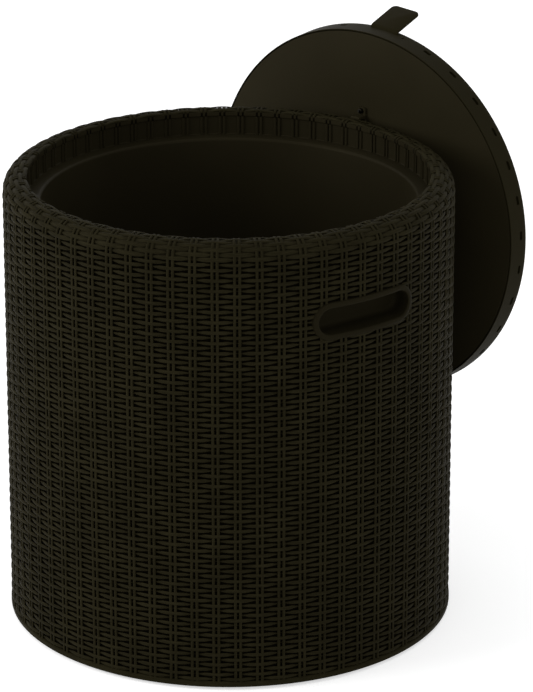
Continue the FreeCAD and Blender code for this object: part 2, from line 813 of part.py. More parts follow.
os.makedirs("parts", exist_ok=True)
cup = make_hand_cup()
save("outer_wall", make_outer_wall())
save("rim_ring", make_rim_ring())
save("inner_tub", make_inner_tub())
save("wall_insulation", make_wall_insulation())
save("cup_insulation", make_cup_insulation())
save("collar_insulation", make_collar_insulation())
save("base_insulation", make_base_insulation())
save("base_cover", make_base_cover())
save("foot_pads", make_foot_pads())
save("base_screws", make_base_screws())
for side, angle in zip(("right", "left"), cup_places()):
    save("hand_cup_" + side, turned(cup, angle))
save("drain_socket", make_drain_socket())
save("drain_gasket", make_drain_gasket())
save("drain_nut", make_drain_nut())
save("drain_bung", make_drain_bung())
save("bung_seal", make_bung_seal())
save("lid_shell", hung(make_lid_shell()))
save("lid_underside", hung(make_lid_underside()))
save("lid_core", hung(make_lid_core()))
save("pull_tab", hung(make_pull_tab()))
save("hanger_hook", hung(make_hanger_hook()))
save("hook_screw", hung(make_hook_screw()))
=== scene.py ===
"""Cooler drum in moulded cane look, its disc lid hung on the rim, dressed over its frame."""

import math

import bmesh
import bpy
from bpy.props import FloatProperty, FloatVectorProperty, IntProperty, PointerProperty
from bpy.types import Operator, Panel, PropertyGroup
from mathutils import Matrix, Vector


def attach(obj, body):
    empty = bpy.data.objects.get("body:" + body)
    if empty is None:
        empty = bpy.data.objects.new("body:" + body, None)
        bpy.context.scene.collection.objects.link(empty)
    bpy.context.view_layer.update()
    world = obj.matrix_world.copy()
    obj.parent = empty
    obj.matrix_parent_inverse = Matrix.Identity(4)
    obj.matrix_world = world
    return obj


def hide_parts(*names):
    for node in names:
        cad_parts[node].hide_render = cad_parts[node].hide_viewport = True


bl_info = {
    "name": "Cane cooler drum",
    "version": (1, 0, 0),
    "blender": (4, 5, 0),
    "location": "View3D > Sidebar > Cooler",
    "description": "Builds the woven wall, rolled rim, tub, hand cups and hung lid of a cooler drum",
    "category": "Object",
}

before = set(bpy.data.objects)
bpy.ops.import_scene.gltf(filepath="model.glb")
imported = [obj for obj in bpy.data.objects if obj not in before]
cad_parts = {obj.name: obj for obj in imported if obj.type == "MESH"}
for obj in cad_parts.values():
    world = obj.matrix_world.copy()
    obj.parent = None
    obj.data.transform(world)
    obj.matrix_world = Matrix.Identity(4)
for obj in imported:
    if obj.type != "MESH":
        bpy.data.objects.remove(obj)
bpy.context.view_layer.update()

UP = Vector((0, 0, 1))
TAU = 2 * math.pi
X, Y, Z = range(3)


def length(name, default, description):
    return FloatProperty(name=name, description=description, default=default, min=0.0, precision=5,
                         subtype="DISTANCE", unit="LENGTH")


def turn(name, degrees, description):
    return FloatProperty(name=name, description=description, default=math.radians(degrees),
                         subtype="ANGLE", unit="ROTATION")


def colour(name, default, description):
    return FloatVectorProperty(name=name, description=description, default=default, size=3,
                               min=0.0, max=1.0, subtype="COLOR")


def share(name, default, description):
    return FloatProperty(name=name, description=description, default=default, min=0.0, max=1.0,
                         subtype="FACTOR")


def place(name, default, description):
    return FloatVectorProperty(name=name, description=description, default=default, size=3,
                               subtype="TRANSLATION", unit="LENGTH")


def amount(name, default, description):
    return FloatProperty(name=name, description=description, default=default, min=0.0)


def count(name, default, description, least=0):
    return IntProperty(name=name, description=description, default=default, min=least)


class CaneSizes(PropertyGroup):
    """Wall, stakes and strands of the drum."""
    pairs: count("Stake pairs", 66, "Pairs of upright stakes round the drum", 3)
    pair_phase: turn("First pair", -1.5, "Angle of the first pair from the X axis")
    body_radius: length("Body radius", 0.210, "Axis to the front of the stakes")
    backing_radius: length("Backing radius", 0.2068, "Axis to the wall behind the cane")
    inner_radius: length("Inner radius", 0.2054, "Axis to the wall's inner face")
    lower_edge: length("Lower edge", 0.003, "Floor to the wall's lower edge")
    band_top: length("Band top", 0.008, "Floor to the top of the plain lower band")
    shoulder_height: length("Shoulder height", 0.415, "Floor to where the wall starts to roll in")
    shoulder_centre: length("Shoulder centre", 0.193, "Axis to the middle of the roll's round")
    roll_rows: count("Roll rows", 7, "Strands from the wall over the roll")
    roll_sway: share("Roll sway", 0.8, "Share of the sway that the strands over the roll keep")
    roll_broad: amount("Roll breadth", 1.16, "Height of a roll strand over a wall strand's")
    shade_depth: length("Shade depth", 0.0017, "Depth from the backing over which the shade fades")
    roll_end: turn("Roll's end", 112.0, "Angle from the wall over the roll to the mouth")
    stake_width: length("Stake width", 0.0029, "Width of one stake")
    stake_gap: length("Stake gap", 0.0017, "Gap between the stakes of a pair")
    stake_depth: length("Stake depth", 0.0017, "Thickness of one stake")
    stake_front: length("Stake front", 0.20935, "Axis to the front of a stake")
    row_pitch: length("Row pitch", 0.0049, "Height from one strand to the next")
    strand_front: length("Strand front", 0.2091, "Axis to a strand's front midway between two pairs")
    strand_sway: length("Strand sway", 0.00098, "Half of the way a strand moves in and out")
    strand_dive: length("Strand dive", 0.00022, "Extra depth at both ends of the sway")
    strand_depth: length("Strand depth", 0.0018, "Thickness of a strand")
    strand_half: length("Strand half height", 0.00170, "Half height midway between two pairs")
    strand_swell: length("Strand swell", 0.00035, "Half height gained over a pair and lost under it")
    strand_taper: length("Strand taper", 0.00055, "Half height lost at both ends of the sway")
    slot_half: length("Slot half length", 0.038, "Middle of a hand cup to its round end's")
    slot_height: length("Slot height", 0.352, "Floor to the middle of the hand cups")
    slot_clear: length("Slot clearance", 0.0170, "End radius of the gap left in the cane round a cup")


class RimSizes(PropertyGroup):
    """Rolled rim and the collar below its mouth."""
    under_roll: length("Under the cane", 0.0148, "Middle of the roll's round to the shell under it")
    mouth_radius: length("Mouth radius", 0.187, "Axis to the mouth")
    lip_low: length("Lip's lower edge", 0.424, "Floor to the lower edge of the lip")
    ledge: length("Ledge", 0.4058, "Floor to the ledge that carries the closed lid")
    collar_radius: length("Collar radius", 0.1884, "Axis to the panels between the collar's ribs")
    collar_outer: length("Collar outside", 0.1914, "Axis to the collar's outer face")
    skirt_outer: length("Skirt outside", 0.2051, "Axis to the skirt that stands in the wall")
    skirt_inner: length("Skirt inside", 0.2025, "Axis to the skirt's inner face")
    seat: length("Hook seat", 0.42825, "Floor to the notch that the hook's arm lies over")
    pocket_floor: length("Pocket floor", 0.41895, "Floor to the bottom of the hook's pocket")


class TubSizes(PropertyGroup):
    """Tub, drain and feet."""
    mouth: length("Tub mouth", 0.174, "Axis to the tub's side just below the ledge")
    floor_radius: length("Floor radius", 0.167, "Axis to the tub's side at the floor")
    floor: length("Tub floor", 0.049, "Floor to the tub's upper floor face")
    gauge: length("Tub gauge", 0.003, "Wall thickness of the tub")
    corner: length("Corner", 0.014, "Round between the tub's floor and side")
    drain: length("Drain offset", 0.115, "Axis to the drain")
    foot_circle: length("Foot circle", 0.186, "Axis to a foot")
    screw_circle: length("Screw circle", 0.1992, "Axis to a base screw")


class LidSizes(PropertyGroup):
    """Disc lid, its tab, its hook and how it hangs."""
    radius: length("Lid radius", 0.1815, "At the top edge")
    under_radius: length("Underside radius", 0.1805, "At the lower edge")
    thickness: length("Lid thickness", 0.0232, "Underside to top")
    vents: count("Vents", 33, "Slots round the lid's side", 1)
    vent_phase: turn("First vent", -21.2, "Angle of the first vent from the hook")
    vent_length: length("Vent length", 0.009, "Length of a slot")
    vent_height: length("Vent height", 0.0036, "Height of a slot")
    vent_drop: length("Vent drop", 0.0084, "Top edge to the middle of a slot")
    border: length("Border", 0.017, "Plain border round the woven field")
    tab_angle: turn("Tab angle", -3.65, "Angle of the tab from the hook")
    tab_width: length("Tab width", 0.032, "Width of the lift tab")
    tab_rise: length("Tab rise", 0.0284, "Tab's end above the lid's top")
    tab_reach: length("Tab reach", 0.0136, "Tab's end outside the lid's edge")
    hang_direction: turn("Hang direction", 103.8, "The way the hung lid's top faces, from the X axis")
    hang_lean: turn("Hang lean", 0.35, "Top leans away from the drum")
    hang_offset: length("Hang offset", 0.0097, "Lid's middle beside the hang direction")
    hang_distance: length("Hang distance", 0.21140, "Axis to the middle of the lid's underside")
    hang_height: length("Hang height", 0.33325, "Floor to the middle of the lid")


class PlasticColours(PropertyGroup):
    """Colours of the moulded plastics and the small parts."""
    cane: colour("Cane", (0.0192, 0.0165, 0.0076), "Dark olive brown of the cane")
    # painted shade of the weave's deep gaps and of the hollows in the lid's top weave; mixed in by
    # half, it also gives the strands' own grain streaks their darker tone
    gap_shade_and_grain: colour("Crevice", (0.0016, 0.0012, 0.0005), "Deep gaps of the weave")
    # painted shade: a darker copy of the plastic for the hand cups, standing for the shade in their
    # recesses
    cup: colour("Cup", (0.0108, 0.0090, 0.0044), "Hand cups")
    # painted shade: a darker copy of the smooth plastic for the lid's top, side and tab, which catch
    # more light
    edge: colour("Lid's edge", (0.0128, 0.0108, 0.0046), "Top, side and tab of the lid")
    smooth: colour("Smooth plastic", (0.0158, 0.0132, 0.0066), "Rim, hook, bung and lid's underside")
    tub: colour("Tub", (0.0146, 0.0122, 0.0062), "Inside of the tub")
    rubber: colour("Rubber", (0.018, 0.018, 0.017), "Feet and seals")
    steel: colour("Steel", (0.50, 0.50, 0.49), "Screws of the base")
    dark_steel: colour("Dark steel", (0.0070, 0.0060, 0.0040), "Screw of the hook")
    foam: colour("Foam", (0.78, 0.75, 0.64), "Insulation")


class StudioSettings(PropertyGroup):
    """Camera, floor and light."""
    camera: place("Camera", (2.8850, -2.1070, 1.6184), "Place of the camera")
    target: place("Target", (0.0208, 0.0279, 0.2571), "Point that the camera looks at")
    lens: FloatProperty(name="Lens", description="Focal length on a 36 mm sensor", default=211.6,
                        subtype="DISTANCE_CAMERA")
    floor: colour("Floor", (0.80, 0.80, 0.80), "Pale floor")
    floor_glow: share("Floor glow", 0.55, "Light that the camera sees on the floor beyond the lamps'")
    sky: amount("Sky", 0.66, "Strength of the even light all round")
    key: amount("Key", 39.0, "Power of the large lamp in watts")
    fill: amount("Fill", 8.0, "Power of the fill lamp in watts")
    back: amount("Back", 3.0, "Power of the lamp behind in watts")


GROUPS = {
    "cooler_cane": CaneSizes,
    "cooler_rim": RimSizes,
    "cooler_tub": TubSizes,
    "cooler_lid": LidSizes,
    "cooler_colours": PlasticColours,
    "cooler_studio": StudioSettings,
}


class Settings:
    """The scene's own values of one group, read when they are used."""

    def __init__(self, name):
        self.name = name

    def __getattr__(self, field):
        return getattr(getattr(bpy.context.scene, self.name), field)


cane, rim, tub, lid, tint, studio = map(Settings, GROUPS)


# Shader maths

OBJECT_OUTPUT = 3  # of Texture Coordinate
CAMERA_RAY, GLOSSY_RAY, TRANSMISSION_RAY = 0, 3, 6  # of Light Path
TOP_WEAVE_PITCH = 0.0098


def arithmetic(operation, reflected=False):
    """Method that adds a Math node, with the operands swapped where it is reflected."""
    def method(self, other):
        operands = (other, self) if reflected else (self, other)
        return self.finish.node("Math", dict(enumerate(operands)), operation=operation)[0]
    return method


class Wire:
    """A shader socket whose arithmetic adds Math nodes to its tree."""

    def __init__(self, finish, socket):
        self.finish = finish
        self.socket = socket

    __add__ = __radd__ = arithmetic("ADD")
    __sub__ = arithmetic("SUBTRACT")
    __rsub__ = arithmetic("SUBTRACT", reflected=True)
    __mul__ = __rmul__ = arithmetic("MULTIPLY")
    __truediv__ = arithmetic("DIVIDE")
    __rtruediv__ = arithmetic("DIVIDE", reflected=True)
    at_least = arithmetic("MAXIMUM")
    angle_to = arithmetic("ARCTAN2")

    def maths(self, operation):
        return self.finish.node("Math", {0: self}, operation=operation)[0]

    def size(self):
        return self.maths("ABSOLUTE")

    def sine(self):
        return self.maths("SINE")

    def root(self):
        return self.maths("SQRT")

    def within(self, low, high):
        """0 at low, 1 at high, smooth between."""
        ends = {"Value": self, "From Min": low, "From Max": high}
        return self.finish.node("MapRange", ends, interpolation_type="SMOOTHSTEP")[0]


class Finish:
    """The shader tree of a material or world under construction."""

    def __init__(self, owner):
        owner.use_nodes = True
        self.owner = owner
        self.tree = owner.node_tree
        self.tree.nodes.clear()

    def node(self, kind, values=(), **options):
        """Adds a shader node and returns its outputs as wires."""
        node = self.tree.nodes.new("ShaderNode" + kind)
        for name, value in options.items():
            setattr(node, name, value)
        for key, value in dict(values).items():
            if isinstance(value, Wire):
                self.tree.links.new(value.socket, node.inputs[key])
            else:
                node.inputs[key].default_value = value
        return [Wire(self, socket) for socket in node.outputs]

    def mixed(self, factor, first, second):
        """Colour mix; a colour mix's own sockets come after those for numbers and vectors."""
        sockets = {0: factor, 6: rgba(first), 7: rgba(second)}
        return self.node("Mix", sockets, data_type="RGBA")[2]

    def vector(self, x, y, z):
        return self.node("CombineXYZ", {0: x, 1: y, 2: z})[0]

    def point(self):
        """Object coordinates."""
        return self.node("TexCoord")[OBJECT_OUTPUT]

    def coordinates(self):
        """Object coordinates as a vector and its three parts."""
        point = self.point()
        return [point] + self.node("SeparateXYZ", {0: point})

    def noise(self, vector, scale, detail=2.0, roughness=0.5):
        return self.node("TexNoise", {"Vector": vector, "Scale": scale, "Detail": detail,
                                      "Roughness": roughness})[0]

    def bump(self, height, distance, strength=1.0):
        return self.node("Bump", {"Height": height, "Distance": distance,
                                  "Strength": strength})[0]

    def seen_directly(self):
        """1 for rays from the camera, a mirror or glass, 0 for light that falls on things."""
        rays = self.node("LightPath")
        return rays[CAMERA_RAY].at_least(rays[GLOSSY_RAY]).at_least(rays[TRANSMISSION_RAY])

    def surface(self, **sockets):
        """Principled surface; keyword names use _ for a space."""
        values = {name.replace("_", " "): rgba(value) if name == "Base_Color" else value
                  for name, value in sockets.items()}
        shader = self.node("BsdfPrincipled", values)[0]
        self.node("OutputMaterial", {"Surface": shader})
        return self.owner


def rgba(value):
    return value if isinstance(value, Wire) else (*value[:3], 1.0)


def toned(shade, factor):
    """Lighter or darker colour."""
    return tuple(min(1.0, part * factor) for part in shade)


def plastic(finish, **sockets):
    """Surface of the dark moulded plastic, which shines little and warmly."""
    return finish.surface(Specular_IOR_Level=0.022, Specular_Tint=(1.0, 0.9, 0.62, 1.0), IOR=1.48,
                          **sockets)


def cane_finish(finish, along_rows):
    """Cane strands: painted shade darker towards the gaps, with a drawn grain along each strand."""
    point, x, y, z = finish.coordinates()
    radius = (x * x + y * y).root()
    angle = y.angle_to(x)
    rise = (z - cane.shoulder_height).at_least(0.0)
    across = radius - cane.shoulder_centre
    front = (across * across + rise * rise).root() + cane.shoulder_centre
    # depth runs from 0 at the backing to 1 a shade depth in front of it: the mask of the painted gap
    # shade
    depth = front.within(cane.backing_radius, cane.backing_radius + cane.shade_depth)
    around = angle * cane.body_radius
    along, up = (90.0, 1500.0) if along_rows else (1500.0, 90.0)
    grain = finish.noise(finish.vector(around * along, z * up, radius * 600.0), 1.0, 3.0, 0.6)
    patch = finish.noise(point, 26.0, 3.0, 0.55)
    speck = finish.noise(point, 420.0, 1.0)
    body = finish.mixed(patch.within(0.3, 0.7), toned(tint.cane, 0.86), toned(tint.cane, 1.14))
    # the grain's streaks are the strands' own tone, half way to the dark colour
    streaked = finish.mixed(grain.within(0.25, 0.8), finish.mixed(0.5, body, tint.gap_shade_and_grain), body)
    # painted shade: the deeper a surface lies, the nearer its colour comes to the dark gap colour
    shaded = finish.mixed(depth, tint.gap_shade_and_grain, streaked)
    rough = 0.44 + 0.18 * grain + 0.10 * speck + 0.12 * (1.0 - depth)
    normal = finish.bump(grain * 0.7 + speck * 0.3, 0.00035, 0.5)
    return plastic(finish, Base_Color=shaded, Roughness=rough, Normal=normal)


def moulded_finish(finish, shade, roughness=0.42, grain=0.00012):
    """Smooth moulded plastic with a fine grain, soft flow marks and a little wear."""
    point = finish.point()
    flow = finish.noise(point, 7.0, 3.0, 0.5)
    fine = finish.noise(point, 1400.0, 2.0, 0.6)
    wear = finish.noise(point, 90.0, 4.0, 0.65)
    base = finish.mixed(flow.within(0.3, 0.7), toned(shade, 0.9), toned(shade, 1.1))
    base = finish.mixed(wear.within(0.62, 0.8) * 0.25, base, toned(shade, 1.5))
    rough = roughness + 0.10 * flow + 0.14 * (wear - 0.5)
    return plastic(finish, Base_Color=base, Roughness=rough, Normal=finish.bump(fine, grain, 0.35))


def woven_top_finish(finish, shade, dark):
    """Top skin with a flat plain weave moulded in, in the lid's own plane as it hangs; the dark
    colour is painted shade in the weave's hollows.
    """
    frame_in = hang_matrix().inverted()
    point = finish.point()
    local = [finish.node("VectorMath", {0: point, 1: tuple(row[:3])}, operation="DOT_PRODUCT")[1]
             + row[3] for row in frame_in]
    u = local[0] * (TAU / TOP_WEAVE_PITCH)
    v = local[1] * (TAU / TOP_WEAVE_PITCH)
    rows = (u * 0.5).sine() * v.sine()
    over = rows.within(-0.25, 0.25)
    ridge_u = (u * 0.5).sine().size()
    ridge_v = (v * 0.5).sine().size()
    height = over * ridge_v + (1.0 - over) * ridge_u
    inside = (local[0] * local[0] + local[1] * local[1]).root()
    edge = lid.radius - lid.border
    field = 1.0 - inside.within(edge - 0.003, edge - 0.002)
    # painted shade: inside the field the weave's low parts take the dark colour
    base = finish.mixed(field * (1.0 - height.within(0.05, 0.5)), shade, dark)
    grain = finish.noise(point, 900.0, 2.0)
    normal = finish.bump(field * height * 0.9 + grain * 0.1, 0.0011, 0.8)
    return plastic(finish, Base_Color=base, Roughness=0.46 + 0.14 * grain, Normal=normal)


def rubber_finish(finish, shade):
    """Matt rubber with some dust."""
    point = finish.point()
    fine = finish.noise(point, 900.0, 3.0, 0.6)
    dust = finish.noise(point, 60.0, 4.0, 0.6)
    base = finish.mixed(dust.within(0.5, 0.8) * 0.4, shade, toned(shade, 2.2))
    return finish.surface(Base_Color=base, Roughness=0.72 + 0.16 * fine,
                          Normal=finish.bump(fine, 0.0002, 0.5), IOR=1.5)


def steel_finish(finish, shade):
    """Steel with turning marks and dull spots."""
    point, x, y, z = finish.coordinates()
    rings = finish.noise(finish.vector(x * 2500.0, y * 2500.0, z * 300.0), 1.0, 2.0)
    spots = finish.noise(point, 300.0, 3.0)
    base = finish.mixed(spots.within(0.5, 0.8) * 0.5, shade, toned(shade, 0.6))
    return finish.surface(Base_Color=base, Roughness=0.26 + 0.2 * rings, Metallic=1.0,
                          Normal=finish.bump(rings, 0.00005, 0.4))


def foam_finish(finish, shade):
    """Pale foam with fine cells."""
    point = finish.point()
    cells = finish.node("TexVoronoi", {"Vector": point, "Scale": 420.0})[0]
    cloud = finish.noise(point, 12.0, 3.0)
    base = finish.mixed(cloud.within(0.3, 0.7), shade, toned(shade, 0.86))
    return finish.surface(Base_Color=base, Roughness=0.82 + 0.1 * cells,
                          Normal=finish.bump(cells, 0.0006, 0.6), IOR=1.4)


FINISHES = {}


def finish_named(name):
    """Each finish is made once, when a piece first asks for it."""
    if name not in FINISHES:
        maker, *values = {
            "cane_rows": (cane_finish, True),
            "cane_stakes": (cane_finish, False),
            "smooth_plastic": (moulded_finish, tint.smooth),
            # painted shade: the hand cups' darker plastic
            "cup_plastic": (moulded_finish, tint.cup, 0.5),
            "tub_plastic": (moulded_finish, tint.tub, 0.36, 0.00008),
            # painted shade: the lid's top, side and tab take a darker copy of the smooth plastic, and
            # the top weave's hollows take the painted gap shade
            "tab_plastic": (moulded_finish, tint.edge, 0.6),
            "woven_top": (woven_top_finish, tint.edge, tint.gap_shade_and_grain),
            "rubber": (rubber_finish, tint.rubber),
            "steel": (steel_finish, tint.steel),
            "dark_steel": (steel_finish, tint.dark_steel),
            "foam": (foam_finish, tint.foam),
        }[name]
        FINISHES[name] = maker(Finish(bpy.data.materials.new(name)), *values)
    return FINISHES[name]


# Hook: its pocket in the rim, across and outward from the axis, and its places under the lid

POCKET_HALF = 0.0058
POCKET_NEAR = 0.1957
POCKET_FAR = 0.2031
POCKET_WALL = 0.0015
NOTCH_HALF = POCKET_HALF + POCKET_WALL
NOTCH_NEAR = POCKET_NEAR - POCKET_WALL
OUTSIDE_RIM = 0.2250
ABOVE_RIM = 0.4500
CANE_AIR = 0.0002  # between the pocket's frame and the cut cane
HOOK_WIDTH = 0.010
HOOK_SCREW = 0.1022  # lid's middle to the screw
HOOK_PEG = 0.0910

# Other sizes and counts that several functions share

STRAND_SIDES = 6
STRAND_STEPS = 6  # from one pair to the next
STRAND_CORE = 0.001  # radius of a strand's section before it is shaped
CUP_HOLE = 0.0162  # end radius of the backing's hole round a cup
PANEL_RADIUS = 0.1787  # lid's underside panel
VENT_COLUMNS = 8  # of the lid's shell, for each vent


# Mesh helpers

def polar(radius, angle, height=0.0):
    return Vector((radius * math.cos(angle), radius * math.sin(angle), height))


def from_axis(point):
    return math.hypot(point.x, point.y)


def bearing(point):
    return math.atan2(point.y, point.x)


def unevenness(*keys):
    """Same small number between -1 and 1 for the same keys."""
    value = math.sin(sum(k * f for k, f in zip(keys, (12.9898, 78.233, 37.719)))) * 43758.5453
    return 2.0 * (value - math.floor(value)) - 1.0


def verts_of(geometry):
    return [item for item in geometry if isinstance(item, bmesh.types.BMVert)]


def edges_of(geometry):
    return [item for item in geometry if isinstance(item, bmesh.types.BMEdge)]


def face_out(bm):
    bmesh.ops.recalc_face_normals(bm, faces=bm.faces)


def merge_and_face_out(bm):
    bmesh.ops.remove_doubles(bm, verts=bm.verts, dist=0.00001)
    face_out(bm)


def run_along(edge, axis):
    """How far an edge reaches along an axis."""
    return abs(edge.verts[0].co[axis] - edge.verts[1].co[axis])


def about_z(angle):
    return Matrix.Rotation(angle, 4, "Z")


def moved(x, y, z):
    return Matrix.Translation((x, y, z))


def spun(bm, geometry, steps):
    bmesh.ops.spin(bm, geom=geometry, cent=(0, 0, 0), axis=UP, dvec=(0, 0, 0), angle=TAU,
                   steps=steps, use_merge=True)


def turned(points, steps, closed=True):
    """Full ring or solid spun from section points, each a radius and a height."""
    bm = bmesh.new()
    verts = [bm.verts.new((radius, 0.0, height)) for radius, height in points]
    joins = list(zip(verts, verts[1:]))
    if closed:
        joins.append((verts[-1], verts[0]))
    edges = [bm.edges.new(pair) for pair in joins]
    spun(bm, verts + edges, steps)
    merge_and_face_out(bm)
    return bm


def placed(bm, matrix):
    bmesh.ops.transform(bm, matrix=matrix, verts=bm.verts)
    return bm


def rounded(bm, edges, offset, segments):
    bmesh.ops.bevel(bm, geom=edges, offset=offset, segments=segments, profile=0.5, affect="EDGES",
                    material=-1)


def arc_points(centre, radius, start, end, steps):
    """Section points on a round, angles in degrees."""
    points = []
    for i in range(steps + 1):
        angle = math.radians(start + (end - start) * i / steps)
        points.append((centre[0] + radius * math.cos(angle), centre[1] + radius * math.sin(angle)))
    return points


def close_holes(bm):
    bmesh.ops.holes_fill(bm, edges=[edge for edge in bm.edges if edge.is_boundary], sides=0)


def add_part(bm, part):
    """Moves a part's faces into a bmesh."""
    mesh = kept_mesh(part, "part")
    bm.from_mesh(mesh)
    bpy.data.meshes.remove(mesh)


def copy_at(mesh, matrix):
    """Copy of a mesh at a place, as a bmesh of its own."""
    part = bmesh.new()
    part.from_mesh(mesh)
    return placed(part, matrix)


def kept_mesh(bm, name):
    mesh = bpy.data.meshes.new(name)
    bm.to_mesh(mesh)
    bm.free()
    return mesh


def shown(name, data):
    """Object of the scene with the data."""
    item = bpy.data.objects.new(name, data)
    bpy.context.scene.collection.objects.link(item)
    return item


def add_piece(bm, name, finish, body, stands_for, sharp=35.0):
    """Makes the bmesh an object that rides on a body and stands for a node."""
    mesh = kept_mesh(bm, name)
    mesh.materials.append(finish_named(finish))
    mesh.shade_smooth()
    mesh.set_sharp_from_angle(angle=math.radians(sharp))
    piece = shown(name, mesh)
    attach(piece, body)
    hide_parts(stands_for)


def carved(bm, cuts, joins=()):
    """The bmesh with every join added and then every cut taken out."""
    target = shown("carving", kept_mesh(bm, "carving"))
    helpers = []
    for tool, kind in [(join, "UNION") for join in joins] + [(cut, "DIFFERENCE") for cut in cuts]:
        helper = shown("tool", kept_mesh(tool, "tool"))
        modifier = target.modifiers.new("cut", "BOOLEAN")
        modifier.operation = kind
        modifier.solver = "EXACT"
        modifier.object = helper
        helpers.append(helper)
    evaluated = target.evaluated_get(bpy.context.evaluated_depsgraph_get())
    result = bmesh.new()
    result.from_mesh(evaluated.to_mesh())
    evaluated.to_mesh_clear()
    for item in helpers + [target]:
        mesh = item.data
        bpy.data.objects.remove(item)
        bpy.data.meshes.remove(mesh)
    return result


def box_at(place, size):
    """Box about the middle of a place."""
    bm = bmesh.new()
    bmesh.ops.create_cube(bm, size=1.0)
    return placed(bm, place @ Matrix.Diagonal((*size, 1.0)))


def box_tool(place, low, high):
    """Box between two corners in the frame of a place."""
    low, high = Vector(low), Vector(high)
    return box_at(place @ moved(*((low + high) / 2)), high - low)


def round_tool(x, y, radius, low, high, segments=48):
    bm = bmesh.new()
    bmesh.ops.create_cone(bm, cap_ends=True, segments=segments, radius1=radius, radius2=radius,
                          depth=high - low, matrix=moved(x, y, (low + high) / 2))
    return bm


def cut_out_box(bm, place, low, high):
    """Opens a box-shaped gap through thin closed forms and closes their cut ends."""
    inward = place.inverted()
    facing = place.to_3x3()
    margin = 0.004

    def near(face, spare):
        middle = inward @ face.calc_center_median()
        return all(low[i] - spare < middle[i] < high[i] + spare for i in range(3))

    for axis in range(3):
        normal = Vector((0, 0, 0))
        normal[axis] = 1.0
        for level in (low[axis], high[axis]):
            faces = [face for face in bm.faces if near(face, margin)]
            edges = list({edge for face in faces for edge in face.edges})
            verts = list({vert for face in faces for vert in face.verts})
            bmesh.ops.bisect_plane(bm, geom=faces + edges + verts, dist=0.000001,
                                   plane_co=place @ (normal * level), plane_no=facing @ normal)
    bmesh.ops.delete(bm, geom=[face for face in bm.faces if near(face, 0.0)], context="FACES")
    close_holes(bm)


# Places taken from the sizes

def stake_angles():
    """Angle of every single stake."""
    half = (cane.stake_gap + cane.stake_width) / 2 / cane.stake_front
    return [cane.pair_phase + TAU * i / cane.pairs + side * half
            for i in range(cane.pairs) for side in (-1, 1)]


def hanger_place():
    """Frame in line with the hook: X across, Y outward, floor height."""
    return about_z(lid.hang_direction - math.pi / 2) @ moved(-lid.hang_offset, 0, 0)


def hang_matrix():
    """Lid's own frame, top up and hook towards +Y, to where the lid hangs."""
    outward = polar(1.0, lid.hang_direction)
    across = polar(1.0, lid.hang_direction + math.pi / 2)
    lean = lid.hang_lean
    top = outward * math.cos(lean) - UP * math.sin(lean)
    up = UP * math.cos(lean) + outward * math.sin(lean)
    centre = outward * lid.hang_distance + across * lid.hang_offset + UP * lid.hang_height
    matrix = Matrix((across, up, top)).transposed().to_4x4()
    matrix.translation = centre
    return matrix


def open_for_hook(bm):
    """Takes the hook's notch and pocket, with a hair of air, out of the cane."""
    place = hanger_place()
    half = NOTCH_HALF + CANE_AIR
    cut_out_box(bm, place, (-half, NOTCH_NEAR - CANE_AIR, rim.seat - CANE_AIR),
                (half, OUTSIDE_RIM, ABOVE_RIM))
    cut_out_box(bm, place, (-POCKET_HALF, POCKET_NEAR, rim.pocket_floor),
                (POCKET_HALF, POCKET_FAR, ABOVE_RIM))


# Wall

def build_backing():
    """Closed wall behind the cane, with its lower band and the holes for the cups."""
    fine = [cane.slot_height + (i - 5.5) * 0.0034 for i in range(12)]
    heights = [0.10, 0.20, 0.30] + fine + [0.395]
    band = cane.body_radius
    outer = [(band - 0.0008, cane.lower_edge), (band, cane.lower_edge + 0.0008),
             (band, cane.band_top - 0.0008), (band - 0.0008, cane.band_top),
             (cane.backing_radius, cane.band_top + 0.0006)]
    outer += [(cane.backing_radius, height) for height in heights + [cane.shoulder_height]]
    inner = [(cane.inner_radius, height)
             for height in [cane.shoulder_height, *reversed(heights), cane.lower_edge]]
    bm = turned(outer + inner, 4 * cane.pairs)
    for side in (1, -1):
        gone = [vert for vert in bm.verts if vert.co.x * side > 0
                and math.hypot(max(abs(vert.co.y) - cane.slot_half, 0.0),
                               vert.co.z - cane.slot_height) < CUP_HOLE]
        bmesh.ops.delete(bm, geom=gone, context="VERTS")
        edges = [edge for edge in bm.edges if edge.is_boundary]
        for vert in {vert for edge in edges for vert in edge.verts}:
            radius = from_axis(vert.co)
            run = max(-cane.slot_half, min(cane.slot_half, vert.co.y))
            away = Vector((vert.co.y - run, vert.co.z - cane.slot_height)).normalized() * CUP_HOLE
            y = run + away.x
            vert.co = (side * math.sqrt(radius ** 2 - y ** 2), y, cane.slot_height + away.y)
        bmesh.ops.bridge_loops(bm, edges=edges)
    # the cane finish paints this deep wall almost wholly in the painted gap shade, its lower band in
    # the cane's colour
    add_piece(bm, "wall_backing", "cane_rows", "drum", "outer_wall")


def strand_mesh(odd):
    """One strand woven past every pair, at height 0 with its front towards +radius."""
    bm = bmesh.new()
    bmesh.ops.create_circle(bm, segments=STRAND_SIDES, radius=STRAND_CORE,
                            matrix=moved(cane.shoulder_centre, 0, 0)
                            @ Matrix.Rotation(math.pi / 2, 4, "X"))
    spun(bm, bm.verts[:] + bm.edges[:], STRAND_STEPS * cane.pairs)
    face_out(bm)
    depth = cane.strand_depth / 2
    for vert in bm.verts:
        angle = bearing(vert.co)
        sway = math.cos(angle * cane.pairs / 2 + math.pi * odd)
        out = (from_axis(vert.co) - cane.shoulder_centre) / STRAND_CORE
        front = cane.strand_front + cane.strand_sway * sway - cane.strand_dive * sway ** 2
        half = cane.strand_half + cane.strand_swell * sway - cane.strand_taper * sway ** 2
        radius = front - depth + depth * out
        vert.co = polar(radius, angle + cane.pair_phase, half * vert.co.z / STRAND_CORE)
    return kept_mesh(bm, "strand")


